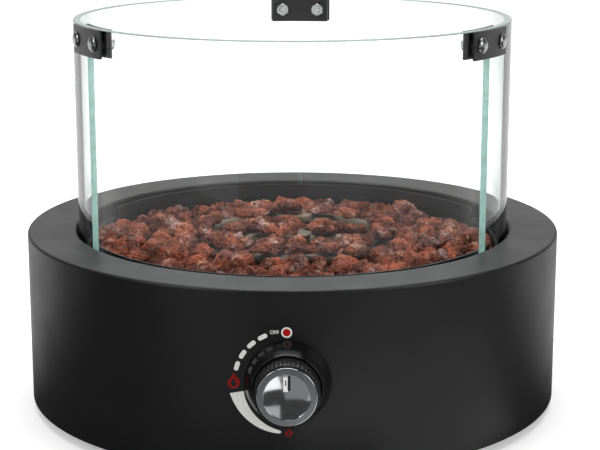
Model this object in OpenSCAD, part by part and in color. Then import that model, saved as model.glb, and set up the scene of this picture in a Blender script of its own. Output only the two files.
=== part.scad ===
// Tabletop gas fire pit: a round steel drum, a bowl of lava rocks over a ring burner,
// and a lift-off wind guard of three curved glass panels.
// +Z is up. The origin is the centre of the footprint on the table. The knob faces -Y.

/* [Drum] */
// Outer diameter of the drum
body_d = 483; // [470:1:520]
// Height of the drum
body_h = 153; // [148:1:190]
// Thickness of the drum's steel sheet
sheet_t = 1.5; // [1:0.1:2.5]
// Rounding of the drum's top edge
top_edge_r = 2.6; // [2.6:0.1:6]
// Width of the flat ring on top
ring_w = 43.5; // [40:0.5:52]
// Depth of the lip that is turned down round the hole
lip_h = 9; // [5:0.5:9.5]

/* [Base] */
// Height of a rubber foot
foot_h = 8; // [5:0.5:20]
// Diameter of a rubber foot
foot_d = 36; // [24:1:50]
// From the drum's wall to the middle of a foot
foot_inset = 34; // [30:1:60]
// Thickness of the base plate
base_t = 1.5; // [1:0.1:3]
// Width of the two side tabs of the base plate
tab_w = 36; // [20:1:60]
// Height of the lower side screw above the base plate
side_screw_z = 4.3; // [4.2:0.1:12]
// Distance between the two screws of a side tab
side_screw_pitch = 34.5; // [20:0.5:45]
// Diameter of a vent hole in the base plate
vent_d = 12; // [6:0.5:16]

/* [Fire bowl] */
// Depth of the channel that the glass stands in
channel_depth = 14.5; // [14:0.1:16]
// Depth of the bowl below that channel
bowl_depth = 46.5; // [46:0.5:50]
// Thickness of the bowl's sheet
bowl_t = 1.2; // [0.8:0.1:2]
// How far the bowl's wall leans in towards its floor
bowl_lean = 8; // [4:0.5:14]
// Width of the bowl's flange under the top ring
flange_lap = 14; // [12:0.5:16]
// Height of the ring that holds the glass from inside
retainer_h = 12.1; // [8:0.1:13.5]
// Width of the two notches in that ring
notch_w = 146; // [60:1:200]

/* [Glass guard] */
// Height of the glass
glass_h = 204; // [150:1:260]
// Thickness of the glass
glass_t = 6; // [5:0.5:8]
// Gap between the glass and the hole's edge
glass_gap = 2.5; // [1.5:0.1:3]
// Gap between two panels
seam_gap = 2.5; // [1:0.1:5]
// How far the guard is turned in its channel, in degrees
guard_turn = -1.4; // [-20:0.1:20]
// Length of a clamp plate
plate_w = 58.5; // [52:0.5:80]
// Height of a clamp plate
plate_h = 24; // [17:0.5:24]
// Thickness of a clamp plate
plate_t = 2; // [1.5:0.1:3]
// Thickness of a rubber pad
pad_t = 1.2; // [0.8:0.1:2]
// Distance between the two bolts of a clamp
bolt_pitch = 36.6; // [28:0.1:42]
// From the top of the glass down to the bolts
bolt_drop = 12.2; // [12.2:0.1:20]
// Diameter of a clamp bolt's head
bolt_head_d = 13.6; // [11:0.1:15]

/* [Burner] */
// Diameter of the burner ring, measured on the tube's centre line
burner_d = 170; // [150:1:200]
// Diameter of the burner tube
burner_tube_d = 16; // [14:0.5:18]
// Height of the tube's centre above the bowl's floor
burner_rise = 43; // [40:0.5:46]
// Number of flame ports
port_count = 36; // [20:1:48]
// Diameter of a flame port
port_d = 2.4; // [1.5:0.1:3]
// Diameter of the mixing tube
mixing_tube_d = 22; // [20:0.5:24]

/* [Rocks] */
// Size of an upper lava rock
upper_rock = 24; // [22:1:36]
// Size of a lower lava rock
lower_rock = 34; // [30:1:40]

/* [Knob and valve] */
// From the top ring down to the knob's axis
knob_drop = 75.4; // [74:0.1:77]
// Diameter of the knob's grip
knob_d = 52.5; // [46:0.5:53]
// How far the knob's face stands off the drum
knob_reach = 36.6; // [34:0.1:42]
// Diameter of the knob's metal face
face_d = 47.6; // [40:0.1:49]
// Number of flutes round the grip
flute_count = 44; // [24:1:52]
// Diameter of the bezel where it meets the drum
bezel_d = 70; // [68:0.5:76]
// Travel of the knob when it is pushed
push_travel = 4; // [2:0.5:5]
// Diameter of the valve's stem
stem_d = 6; // [5:0.1:7]

/* [Gas inlet] */
// Height of the inlet's axis above the base plate
inlet_rise = 30; // [24:1:40]
// How far the inlet stands out of the drum
inlet_reach = 36.6; // [33:0.1:45]
// Diameter of the inlet's outside thread
inlet_thread_d = 15.88; // [14:0.01:17]
// Diameter of the gas pipes
pipe_d = 8; // [6:0.5:9]

/* [Hidden] */

$fn = 96;
far = 600;
seat = 0.2;
hole_room = 0.2;

steel_black = "#26272a";
ring_black = "#2d2e31";
zinc = "#a9abad";
stainless = "#b9bab8";
glass_green = [0.64, 0.80, 0.75, 0.45];
rubber_black = "#151515";
brass_yellow = "#b5923f";
chrome_grey = "#c4c6c8";
rock_red = "#7a4338";

// Drum and base
body_r = body_d / 2;
inner_r = body_r - sheet_t;
body_top = foot_h + body_h;
hole_r = body_r - ring_w;
base_top = foot_h + base_t;
base_r = inner_r - seat;
plate_room = 0.5;
foot_r = body_r - foot_inset;
foot_angles = [45, 135, 225, 315];
m5_r = 2.5;
m5_head_r = 4.8;
m5_head_h = 3.4;
m5_nut_af = 8;
m5_nut_h = 4;
m4_r = 2;
m4_head_r = 3.6;
m4_head_h = 2.5;
m4_nut_af = 7;
m4_nut_h = 3.2;
side_screw_heights = [base_top + side_screw_z, base_top + side_screw_z + side_screw_pitch];
tab_margin = 9;
tab_top = side_screw_heights[1] + tab_margin;
tab_angle = 2 * asin(tab_w / 2 / base_r);
foot_recess_r = 7;
foot_floor = 2.5;

// Bowl, its channel and what carries it
retainer_gap = 2;
retainer_t = 1.2;
glass_r = hole_r - glass_gap;
glass_in_r = glass_r - glass_t;
glass_mid_r = glass_r - glass_t / 2;
retainer_r = glass_in_r - retainer_gap;
bowl_r = retainer_r - retainer_t;
channel_z = body_top - channel_depth;
floor_z = channel_z - bowl_depth;
floor_under = floor_z - bowl_t;
floor_r = bowl_r - bowl_lean;
floor_corner = 6;
flange_r = hole_r + flange_lap;
flange_under = channel_z - bowl_t;
hanger_room = 0.5;
hanger_t = 2;
hanger_w = 30;
hanger_foot = 12;
hanger_top = 18;
hanger_web_r = flange_r + hanger_room;
hanger_angles = [45, 135, 225, 315];
flange_screw_inset = 5.5;
bowl_screw_r = flange_r - flange_screw_inset;
notch_corner = 4;
retainer_band = 1.5;

// Guard
glass_seat = 0.3;
guard_z = channel_z + glass_seat;
guard_top = guard_z + glass_h;
edge_chamfer = 0.7;
glass_hole_r = 5;
bolt_r = 3;
bolt_z = guard_top - bolt_drop;
bolt_angle = asin(bolt_pitch / 2 / glass_mid_r);
seam_angle = 2 * asin(seam_gap / 2 / glass_mid_r);
seam_angles = [guard_turn + 60, guard_turn + 180, guard_turn + 300];
outer_plate_r = glass_r + 2 * seat + pad_t;
inner_plate_r = glass_in_r - 2 * seat - pad_t - plate_t;
plate_angle = 2 * asin(plate_w / 2 / outer_plate_r);
clamp_nut_af = 11;
clamp_nut_h = 5;
bolt_tail = 7;
bolt_head_h = 3;

// Burner
ring_r = burner_d / 2;
tube_r = burner_tube_d / 2;
tube_wall = 1;
burner_z = floor_z + burner_rise;
hub_r = 17;
mixing_r = mixing_tube_d / 2;
mixing_wall = 1.5;
collar_r = 17;
collar_h = 3;
tube_nut_af = 32;
tube_nut_h = 6;
jet_drop = 50;
block_over = 9;
block_under = 8;
block_plug_h = 5;
jet_r = 3;
jet_orifice_r = 0.6;
jet_hex_h = 5;
tube_entry = 4;
window_rise = 6;
jet_z = floor_z - jet_drop;
mixing_bottom = jet_z + block_over;
window_w = 9;
window_h = 14;
leg_angles = [45, 135, 225, 315];
leg_w = 16;
leg_t = 1.5;
leg_screw_out = 10;
leg_screw_r = ring_r + leg_screw_out;
holder_w = 20;
holder_bore = 3;
shield_inset = 28.3;
shield_rim = 8;
shield_r = floor_r - shield_inset;
shield_t = 1;
shield_drop = 12.5;
shield_top = floor_under - shield_drop;
shield_hole_r = 26;
spacer_r = 5;
spacer_inset = 25;
spacer_at = shield_r - spacer_inset;
spacer_angles = [60, 180, 300];
pilot_room = 11;
pilot_pitch = 13;
pilot_rise = 16;
pilot_margin = 10;
pilot_web_x = 8;
pilot_foot_l = 17;
probe_r = 2.3;
probe_l = 22;
ceramic_r = 3.5;
ceramic_l = 26;
ceramic_under = 10;
spark_r = 1;
spark_l = 9;
pilot_y = -(ring_r - tube_r - pilot_room);
electrode_y = pilot_y + pilot_pitch;
pilot_plate_z = floor_z + pilot_rise;
lead_r = 1.4;
lead_bend = 8;
lead_hole_r = 5;
lead_start = 3;
lead_rise = 14;
wire_rise = 6;
lead_z = jet_z + lead_rise;
wire_z = jet_z + wire_rise;

// Knob and valve: distances along the knob's axis, counted outwards from the drum
knob_z = body_top - knob_drop;
bezel_r = bezel_d / 2;
bezel_wall = 2;
bezel_floor = 2.4;
edge_room = 0.01;
bezel_step = 12;
bezel_h = 20;
mouth_room = 1;
bevel_w = 3.9;
bezel_mouth_r = knob_d / 2 + mouth_room;
bezel_step_r = bezel_mouth_r + bevel_w;
grip_r = knob_d / 2;
face_r = face_d / 2;
face_t = 2.4;
grip_front = knob_reach - face_t;
grip_stand = 10;
grip_back = grip_stand + push_travel;
grip_wall = 3;
grip_hub_r = 8;
flute_r = 1.4;
face_ring_w = 5.1;
dish_drop = 1;
pointer_w = 4.8;
stem_r = stem_d / 2;
stem_flat_depth = 1;
stem_cover = 4;
stem_flat = stem_r - stem_flat_depth;
stem_front = grip_front - stem_cover;
stem_back = -26;
slide_room = 0.06;
stem_hole_r = 7;
bracket_t = 1.5;
bracket_depth = 8;
bracket_w = 44;
bracket_lug = 14;
bracket_half_h = 12;
bracket_front = -(sheet_t + seat);
bracket_plate = bracket_front - bracket_depth;
lug_screw_at = bracket_half_h + bracket_lug / 2;
valve_front = bracket_plate - bracket_t;
valve_flange_t = 4;
valve_r = 13;
valve_l = 37;
valve_flange_half = 9;
valve_back = valve_front - valve_l;
magnet_r = 9;
magnet_l = 10;
magnet_back = valve_back - magnet_l;
plug_r = 7;
plug_room = 0.05;
plug_l = 22;
plug_front = valve_front - 0.3;
plug_back = plug_front - plug_l;
valve_screw_at = 17.5;
port_r = 7;
port_end = 24;
port_inset = 18;
port_at = valve_front - port_inset;
port_bore_r = 2.5;
port_y = -(body_r + port_at);
piezo_w = 16;
piezo_h = 14;
piezo_top = knob_z - valve_r - seat;
piezo_setback = 4;
piezo_l = 26;
piezo_tip = 4;
piezo_front_y = port_y + piezo_setback;

// Gas line
inlet_z = base_top + inlet_rise;
inlet_bore_r = 3;
inlet_shank_r = 7;
washer_t = 1.2;
inlet_hex_af = 19;
inlet_hex_h = 8;
inlet_neck_h = 2.5;
flare_h = 6;
flare_tip_r = 4;
inlet_nut_af = 20;
inlet_nut_h = 6;
inlet_tail = 26;
pipe_r = pipe_d / 2;
pipe_bend = 14;
burner_pipe_x = 45;
inlet_pipe_x = 70;
inlet_turn = 24;
pipe_nut_r = 7;
pipe_nut_h = 9;
inlet_in_y = body_r - inlet_tail;

// Rocks
rock_gap = 0.35;
rest = 0.3;
turn_shift = 0.2;
bed_floor = floor_z + rest;
bed_split = burner_z - tube_r - 0.9;
bed_step = 12;
bed_fall = 17;
bed_crown = burner_z + 10;
cap_top = bed_crown + 8;
cap_w = tube_r + 0.4;

// ---- Helpers ----

// Turns its children from the front of the drum to an azimuth, towards +X
module at_azimuth(angle) {
    rotate([0, 0, angle]) children();
}

// Local +Z points out of the drum's front, and local +Y points up
module facing_front(distance, height) {
    translate([0, -distance, height]) rotate([90, 0, 0]) children();
}

// A part of a ring with a rectangular section, centred on the front
module ring_part(radius, thickness, height, angle) {
    rotate([0, 0, -90 - angle / 2])
        rotate_extrude(angle = angle)
            translate([radius, 0])
                square([thickness, height]);
}

module hex_prism(across_flats, height) {
    cylinder(h = height, r = across_flats / 2 / cos(30), $fn = 6);
}

// A nut that stands on the plane z = 0
module nut(across_flats, height, bore_r) {
    difference() {
        hex_prism(across_flats, height);
        translate([0, 0, -1]) cylinder(h = height + 2, r = bore_r + hole_room);
    }
}

// A pan head screw: the head stands on z = 0 and the shank hangs below it
module pan_screw(shank_r, shank_l, head_r, head_h) {
    translate([0, 0, -shank_l]) cylinder(h = shank_l, r = shank_r);
    intersection() {
        cylinder(h = head_h, r = head_r);
        translate([0, 0, head_h - 1.7 * head_r]) sphere(r = 1.7 * head_r);
    }
}

module m5_screw(length) pan_screw(m5_r, length, m5_head_r, m5_head_h);
module m4_screw(length) pan_screw(m4_r, length, m4_head_r, m4_head_h);

// A tube that starts at the origin along +Z. Each step is
// [straight length, bend angle, roll before the bend], and the last has only a length.
module bent_tube(steps, radius, bend_r, i = 0) {
    step = steps[i];
    cylinder(h = step[0], r = radius);
    if (i < len(steps) - 1) {
        bend = step[1];
        translate([0, 0, step[0]]) rotate([0, 0, step[2]]) {
            translate([bend_r, 0, 0]) rotate([90, 0, 180])
                rotate_extrude(angle = bend) translate([bend_r, 0]) circle(r = radius);
            translate([bend_r * (1 - cos(bend)), 0, bend_r * sin(bend)]) rotate([0, bend, 0])
                bent_tube(steps, radius, bend_r, i + 1);
        }
    }
}

function arc(x, y, r, from, to, count = 6) =
    [for (i = [0:count]) let (a = from + (to - from) * i / count) [x + r * cos(a), y + r * sin(a)]];

// ---- Drum and base ----

// Section of the drum: wall, rounded shoulder, flat ring and turned-down lip
module shell_section() {
    lip_r = sheet_t + 1;
    outer = concat(
        [[body_r, foot_h]],
        arc(body_r - top_edge_r, body_top - top_edge_r, top_edge_r, 0, 90),
        arc(hole_r + lip_r, body_top - lip_r, lip_r, 90, 180),
        [[hole_r, body_top - lip_h]]);
    inner = concat(
        [[hole_r + sheet_t, body_top - lip_h]],
        arc(hole_r + lip_r, body_top - lip_r, lip_r - sheet_t, 180, 90),
        arc(body_r - top_edge_r, body_top - top_edge_r, top_edge_r - sheet_t, 90, 0),
        [[inner_r, foot_h]]);
    polygon(concat(outer, inner));
}

module at_side_screws() {
    for (side = [-90, 90], z = side_screw_heights)
        at_azimuth(side) facing_front(0, z) children();
}

module body_shell() {
    color(steel_black) difference() {
        rotate_extrude() shell_section();
        facing_front(inner_r - 10, knob_z) cylinder(h = 20, r = stem_hole_r);
        for (side = [-1, 1])
            facing_front(inner_r - 10, knob_z + side * lug_screw_at)
                cylinder(h = 20, r = m4_r + hole_room);
        at_azimuth(180) facing_front(inner_r - 10, inlet_z)
            cylinder(h = 20, r = inlet_shank_r + hole_room);
        at_side_screws() translate([0, 0, inner_r - 10]) cylinder(h = 20, r = m4_r + hole_room);
    }
}

module base_plate() {
    vent_rings = [[base_r * 0.42, 10], [base_r * 0.62, 16]];
    color(ring_black) difference() {
        union() {
            translate([0, 0, foot_h]) cylinder(h = base_t, r = base_r - plate_room);
            for (side = [-90, 90])
                at_azimuth(side) translate([0, 0, foot_h])
                    ring_part(base_r - base_t, base_t, tab_top - foot_h, tab_angle);
        }
        at_side_screws() translate([0, 0, base_r - 10]) cylinder(h = 20, r = m4_r + hole_room);
        for (angle = foot_angles)
            at_azimuth(angle) translate([0, -foot_r, 0]) cylinder(h = far, r = m5_r + hole_room);
        for (ring = vent_rings, i = [0:ring[1] - 1])
            at_azimuth(i * 360 / ring[1]) translate([0, -ring[0], foot_h - 1])
                cylinder(h = base_t + 2, r = vent_d / 2);
    }
}

module side_screws() {
    color(rubber_black) at_side_screws() translate([0, 0, body_r + seat]) m4_screw(10);
}

module side_nuts() {
    color(zinc) at_side_screws()
        translate([0, 0, base_r - base_t - seat - m4_nut_h]) nut(m4_nut_af, m4_nut_h, m4_r);
}

module feet() {
    color(rubber_black)
        for (angle = foot_angles)
            at_azimuth(angle) translate([0, -foot_r, 0]) difference() {
                cylinder(h = foot_h, r1 = foot_d / 2 - 1.5, r2 = foot_d / 2);
                translate([0, 0, -1]) cylinder(h = foot_h - foot_floor + 1, r = foot_recess_r);
                cylinder(h = foot_h + 1, r = m5_r + hole_room);
            }
}

module foot_screws() {
    color(zinc)
        for (angle = foot_angles)
            at_azimuth(angle) translate([0, -foot_r, foot_h - foot_floor])
                mirror([0, 0, 1]) m5_screw(foot_floor + base_t + m5_nut_h + 1);
}

module foot_nuts() {
    color(zinc)
        for (angle = foot_angles)
            at_azimuth(angle) translate([0, -foot_r, base_top]) nut(m5_nut_af, m5_nut_h, m5_r);
}

// ---- Fire bowl ----

// Inside of the bowl from its axis out to its wall
function bowl_wall(grow) = concat(
    [[0, floor_z - grow]],
    arc(floor_r - floor_corner, floor_z + floor_corner, floor_corner + grow, -90, -8),
    [[bowl_r + grow, channel_z - (grow > 0 ? grow : 0)]]);

module bowl_section() {
    difference() {
        polygon(concat(bowl_wall(bowl_t), [[flange_r, flange_under], [flange_r, channel_z],
                                           [0, channel_z]]));
        polygon(concat(bowl_wall(0), [[bowl_r, channel_z + 1], [0, channel_z + 1]]));
    }
}

module at_legs() {
    for (angle = leg_angles) at_azimuth(angle) children();
}

module at_hangers() {
    for (angle = hanger_angles) at_azimuth(angle) children();
}

module at_spacers() {
    for (angle = spacer_angles) at_azimuth(angle) translate([0, -spacer_at, 0]) children();
}

module fire_bowl() {
    color(steel_black) difference() {
        rotate_extrude() bowl_section();
        translate([0, 0, floor_under - 1]) {
            cylinder(h = bowl_t + 2, r = mixing_r + hole_room);
            for (y = [pilot_y, electrode_y])
                translate([0, y, 0]) cylinder(h = bowl_t + 2, r = lead_hole_r);
            at_legs() translate([0, -leg_screw_r, 0]) cylinder(h = bowl_t + 2, r = m4_r + hole_room);
            at_spacers() cylinder(h = bowl_t + 2, r = m4_r + hole_room);
            pilot_screw_place() cylinder(h = bowl_t + 2, r = m4_r + hole_room);
        }
        at_hangers() translate([0, -bowl_screw_r, flange_under - 1])
            cylinder(h = bowl_t + 2, r = m5_r + hole_room);
    }
}

module bowl_hangers() {
    foot_z = flange_under - hanger_t;
    top_z = body_top - sheet_t;
    web_out = hanger_web_r + hanger_t;
    color(zinc) at_hangers() difference() {
        translate([hanger_w / 2, 0, 0]) rotate([90, 0, -90]) linear_extrude(height = hanger_w)
            polygon([[hanger_web_r - hanger_foot, foot_z], [web_out, foot_z],
                     [web_out, top_z - hanger_t], [hanger_web_r + hanger_top, top_z - hanger_t],
                     [hanger_web_r + hanger_top, top_z], [hanger_web_r, top_z],
                     [hanger_web_r, foot_z + hanger_t],
                     [hanger_web_r - hanger_foot, foot_z + hanger_t]]);
        translate([0, -bowl_screw_r, foot_z - 1])
            cylinder(h = hanger_t + 2, r = m5_r + hole_room);
    }
}

module bowl_screws() {
    color(zinc) at_hangers() translate([0, -bowl_screw_r, flange_under - hanger_t])
        mirror([0, 0, 1]) m5_screw(hanger_t + bowl_t + m5_nut_h + 0.5);
}

module bowl_nuts() {
    color(zinc) at_hangers() translate([0, -bowl_screw_r, channel_z])
        nut(m5_nut_af, m5_nut_h, m5_r);
}

// Upright ring inside the glass, with a wide notch on either side
module glass_retainer() {
    notch_floor = channel_z + retainer_band;
    notch_top = channel_z + retainer_h;
    color(steel_black) difference() {
        translate([0, 0, channel_z]) difference() {
            cylinder(h = retainer_h, r = retainer_r);
            translate([0, 0, -1]) cylinder(h = retainer_h + 2, r = bowl_r);
        }
        translate([-far / 2, 0, 0]) rotate([90, 0, 90]) linear_extrude(height = far) {
            translate([-notch_w / 2, notch_floor]) square([notch_w, retainer_h]);
            translate([0, notch_top - notch_corner]) difference() {
                translate([-notch_w / 2 - notch_corner, 0])
                    square([notch_w + 2 * notch_corner, retainer_h]);
                for (side = [-1, 1])
                    translate([side * (notch_w / 2 + notch_corner), 0]) circle(r = notch_corner);
            }
        }
    }
}

// ---- Glass guard ----

module at_seams() {
    for (angle = seam_angles) at_azimuth(angle) children();
}

// Local +Z points outwards along each clamp bolt, from the guard's axis
module at_clamp_bolts() {
    at_seams()
        for (side = [-1, 1])
            at_azimuth(side * bolt_angle) facing_front(0, bolt_z) children();
}

module glass_panel(first_seam) {
    span = 120 - seam_angle;
    color(glass_green) difference() {
        at_azimuth(seam_angles[first_seam] + 60)
            rotate([0, 0, -90 - span / 2])
                rotate_extrude(angle = span)
                    polygon([[glass_in_r + edge_chamfer, guard_z], [glass_r - edge_chamfer, guard_z],
                             [glass_r, guard_z + edge_chamfer], [glass_r, guard_top - edge_chamfer],
                             [glass_r - edge_chamfer, guard_top], [glass_in_r + edge_chamfer, guard_top],
                             [glass_in_r, guard_top - edge_chamfer], [glass_in_r, guard_z + edge_chamfer]]);
        at_clamp_bolts() cylinder(h = far, r = glass_hole_r);
    }
}

module glass_front() glass_panel(2);
module glass_right() glass_panel(0);
module glass_left() glass_panel(1);

module clamp_plates(radius, turned_angle) {
    color(steel_black) difference() {
        at_seams() translate([0, 0, bolt_z - plate_h / 2])
            ring_part(radius, plate_t, plate_h, turned_angle);
        at_clamp_bolts() cylinder(h = far, r = bolt_r + hole_room);
    }
}

module clamp_outer_plates() clamp_plates(outer_plate_r, plate_angle);
module clamp_inner_plates() clamp_plates(inner_plate_r, plate_angle);

// A rubber pad on each face of the glass, and a sleeve round each bolt in its hole
module clamp_pads() {
    pad_h = plate_h - 1;
    pad_angle = plate_angle - 0.6;
    sleeve_r = glass_hole_r - hole_room;
    color(rubber_black) difference() {
        union() {
            at_seams() translate([0, 0, bolt_z - pad_h / 2]) {
                ring_part(glass_r + seat, pad_t, pad_h, pad_angle);
                ring_part(glass_in_r - seat - pad_t, pad_t, pad_h, pad_angle);
            }
            at_clamp_bolts() translate([0, 0, glass_in_r - seat - pad_t / 2])
                cylinder(h = glass_t + 2 * seat + pad_t, r = sleeve_r);
        }
        at_clamp_bolts() cylinder(h = far, r = bolt_r + hole_room);
    }
}

module clamp_bolts() {
    head_seat = outer_plate_r + plate_t + seat;
    tail = inner_plate_r - bolt_tail;
    color(chrome_grey) at_clamp_bolts() {
        translate([0, 0, tail]) cylinder(h = head_seat - tail, r = bolt_r);
        translate([0, 0, head_seat]) {
            cylinder(h = 0.8, r = bolt_head_d / 2);
            translate([0, 0, 0.8])
                cylinder(h = bolt_head_h - 0.8, r1 = bolt_head_d / 2, r2 = bolt_head_d / 2 - 3);
        }
    }
}

module clamp_nuts() {
    color(chrome_grey) at_clamp_bolts()
        translate([0, 0, inner_plate_r - seat - clamp_nut_h]) intersection() {
            nut(clamp_nut_af, clamp_nut_h, bolt_r);
            cylinder(h = clamp_nut_h, r1 = clamp_nut_af / 2, r2 = clamp_nut_af / 2 + clamp_nut_h);
        }
}

// ---- Burner ----

module burner_torus(radius) {
    translate([0, 0, burner_z]) rotate_extrude() translate([ring_r, 0]) circle(r = radius);
}

// Ported ring with a cross tube and a hub, all hollow
module burner_ring() {
    cross_l = 2 * ring_r;
    port_rows = [55, 90];
    hub_h = burner_tube_d + 4;
    color(stainless) difference() {
        union() {
            burner_torus(tube_r);
            translate([-cross_l / 2, 0, burner_z]) rotate([0, 90, 0])
                cylinder(h = cross_l, r = tube_r - 1);
            translate([0, 0, burner_z - tube_r - 4]) cylinder(h = hub_h, r = hub_r);
        }
        burner_torus(tube_r - tube_wall);
        translate([-cross_l / 2, 0, burner_z]) rotate([0, 90, 0])
            cylinder(h = cross_l, r = tube_r - 1 - tube_wall);
        translate([0, 0, burner_z - tube_r - 5])
            cylinder(h = tube_r + 5, r = mixing_r + hole_room);
        for (i = [0:port_count - 1])
            at_azimuth((i + 0.5) * 360 / port_count) translate([0, -ring_r, burner_z])
                rotate([90 - port_rows[i % 2], 0, 0]) cylinder(h = tube_r + 1, r = port_d / 2);
        for (side = [-1, 1], i = [1:3])
            translate([side * (hub_r + i * (ring_r - hub_r - tube_r) / 4), 0, burner_z])
                cylinder(h = tube_r, r = port_d / 2);
    }
}

// Strip feet that steady the ring on the bowl's floor
module burner_legs() {
    color(stainless) at_legs() difference() {
        union() {
            translate([-leg_w / 2, -ring_r - leg_t / 2, floor_z])
                cube([leg_w, leg_t, burner_rise]);
            translate([-leg_w / 2, -ring_r - leg_w - leg_t / 2, floor_z])
                cube([leg_w, leg_w + leg_t, leg_t]);
        }
        burner_torus(tube_r + seat);
        translate([0, 0, burner_z]) cylinder(h = far, r = far);
        translate([0, -leg_screw_r, floor_z - 1]) cylinder(h = leg_t + 2, r = m4_r + hole_room);
    }
}

// Screws of the burner's legs and of the pilot bracket, with their nuts
module leg_screws() {
    reach = leg_t + bowl_t + m4_nut_h + 1;
    color(zinc) {
        at_legs() translate([0, -leg_screw_r, 0]) {
            translate([0, 0, floor_z + leg_t]) m4_screw(reach);
            translate([0, 0, floor_under - m4_nut_h]) nut(m4_nut_af, m4_nut_h, m4_r);
        }
        pilot_screw_place() {
            translate([0, 0, floor_z + leg_t]) m4_screw(reach);
            translate([0, 0, floor_under - m4_nut_h]) nut(m4_nut_af, m4_nut_h, m4_r);
        }
    }
}

// Tube that draws in air through four windows and feeds the hub
module mixing_tube() {
    top_z = burner_z - tube_r + tube_entry;
    color(stainless) difference() {
        union() {
            translate([0, 0, mixing_bottom]) cylinder(h = top_z - mixing_bottom, r = mixing_r);
            translate([0, 0, floor_z]) cylinder(h = collar_h, r = collar_r);
        }
        translate([0, 0, mixing_bottom - 1])
            cylinder(h = top_z - mixing_bottom + 2, r = mixing_r - mixing_wall);
        for (angle = [0, 90])
            rotate([0, 0, angle + 45])
                translate([-far / 2, -window_w / 2, mixing_bottom + window_rise])
                    cube([far, window_w, window_h]);
    }
}

module tube_nut() {
    color(zinc) translate([0, 0, floor_under - tube_nut_h])
        nut(tube_nut_af, tube_nut_h, mixing_r);
}

// Brass block that closes the mixing tube, carries the jet and takes the pipe from its side
module injector_holder() {
    color(brass_yellow) difference() {
        union() {
            translate([-holder_w / 2, -holder_w / 2, jet_z - block_under])
                cube([holder_w, holder_w, mixing_bottom - jet_z + block_under]);
            translate([0, 0, mixing_bottom])
                cylinder(h = block_plug_h, r = mixing_r - mixing_wall - hole_room);
        }
        translate([0, 0, jet_z]) cylinder(h = far, r = jet_r + hole_room);
        translate([-holder_w, 0, jet_z]) rotate([0, 90, 0]) cylinder(h = holder_w, r = holder_bore);
    }
}

module gas_jet() {
    thread_in = 2;
    color(brass_yellow) difference() {
        union() {
            translate([0, 0, mixing_bottom - thread_in])
                cylinder(h = thread_in + block_plug_h, r = jet_r);
            translate([0, 0, mixing_bottom + block_plug_h]) hex_prism(m5_nut_af, jet_hex_h);
        }
        translate([0, 0, mixing_bottom - thread_in - 1]) cylinder(h = far, r = jet_orifice_r);
    }
}

module pilot_screw_place() {
    translate([pilot_web_x + pilot_foot_l / 2 + 0.5, (pilot_y + electrode_y) / 2, 0]) children();
}

// Sheet bracket that holds the electrode and the thermocouple beside the flame ports
module pilot_bracket() {
    length = pilot_pitch + 2 * pilot_margin;
    front_y = pilot_y - pilot_margin;
    color(stainless) difference() {
        union() {
            translate([-pilot_web_x, front_y, pilot_plate_z]) cube([2 * pilot_web_x, length, leg_t]);
            translate([pilot_web_x, front_y, floor_z]) cube([leg_t, length, pilot_rise + leg_t]);
            translate([pilot_web_x, front_y, floor_z]) cube([pilot_foot_l, length, leg_t]);
        }
        translate([0, pilot_y, floor_z]) cylinder(h = far, r = probe_r + hole_room);
        translate([0, electrode_y, floor_z]) cylinder(h = far, r = ceramic_r + hole_room);
        pilot_screw_place() translate([0, 0, floor_z - 1]) cylinder(h = 10, r = m4_r + hole_room);
    }
}

module electrode() {
    base_z = pilot_plate_z - ceramic_under;
    collar_extra_r = 1.1;
    color("#e8e4da") translate([0, electrode_y, base_z]) {
        cylinder(h = ceramic_l, r = ceramic_r);
        translate([0, 0, ceramic_under + leg_t]) cylinder(h = 2, r = ceramic_r + collar_extra_r);
        translate([0, 0, ceramic_l]) cylinder(h = spark_l, r = spark_r);
    }
}

// Tip in the flame, and its lead down through the floor to the valve's magnet
module thermocouple() {
    start_y = -(body_r + magnet_back);
    color("#a8754a") {
        translate([0, start_y, knob_z]) rotate([-90, 0, 0])
            bent_tube([[lead_start, 90, 90],
                       [knob_z - lead_z - 2 * lead_bend, 90, 180],
                       [pilot_y - start_y - lead_start - 3 * lead_bend, 90, 0],
                       [pilot_plate_z - lead_z - lead_bend]], lead_r, lead_bend);
        translate([0, pilot_y, pilot_plate_z]) cylinder(h = probe_l, r = probe_r);
    }
}

module ignition_wire() {
    start_y = piezo_front_y + piezo_l;
    color(rubber_black) translate([0, start_y, wire_z]) rotate([-90, 0, 0])
        bent_tube([[electrode_y - start_y - lead_bend, 90, -90],
                   [pilot_plate_z - ceramic_under - wire_z - lead_bend]], lead_r, lead_bend);
}

module heat_shield() {
    color(zinc) difference() {
        union() {
            translate([0, 0, shield_top - shield_t]) cylinder(h = shield_t, r = shield_r);
            translate([0, 0, shield_top - shield_rim]) difference() {
                cylinder(h = shield_rim, r = shield_r);
                translate([0, 0, -1]) cylinder(h = shield_rim + 2, r = shield_r - shield_t);
            }
        }
        translate([0, 0, shield_top - 2]) {
            cylinder(h = 4, r = shield_hole_r);
            for (y = [pilot_y, electrode_y]) translate([0, y, 0]) cylinder(h = 4, r = lead_hole_r);
            at_spacers() cylinder(h = 4, r = m4_r + hole_room);
        }
    }
}

module shield_spacers() {
    color(zinc) at_spacers() translate([0, 0, shield_top]) difference() {
        cylinder(h = shield_drop, r = spacer_r);
        translate([0, 0, -1]) cylinder(h = shield_drop + 2, r = m4_r + hole_room);
    }
}

module shield_screws() {
    reach = bowl_t + shield_drop + shield_t + m4_nut_h + 1;
    color(zinc) at_spacers() {
        translate([0, 0, floor_z]) m4_screw(reach);
        translate([0, 0, shield_top - shield_t - m4_nut_h]) nut(m4_nut_af, m4_nut_h, m4_r);
    }
}

// ---- Knob and valve ----

// Local +Z points out along the knob's axis, from the drum's surface
module on_knob_axis() {
    facing_front(body_r, knob_z) children();
}

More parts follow.
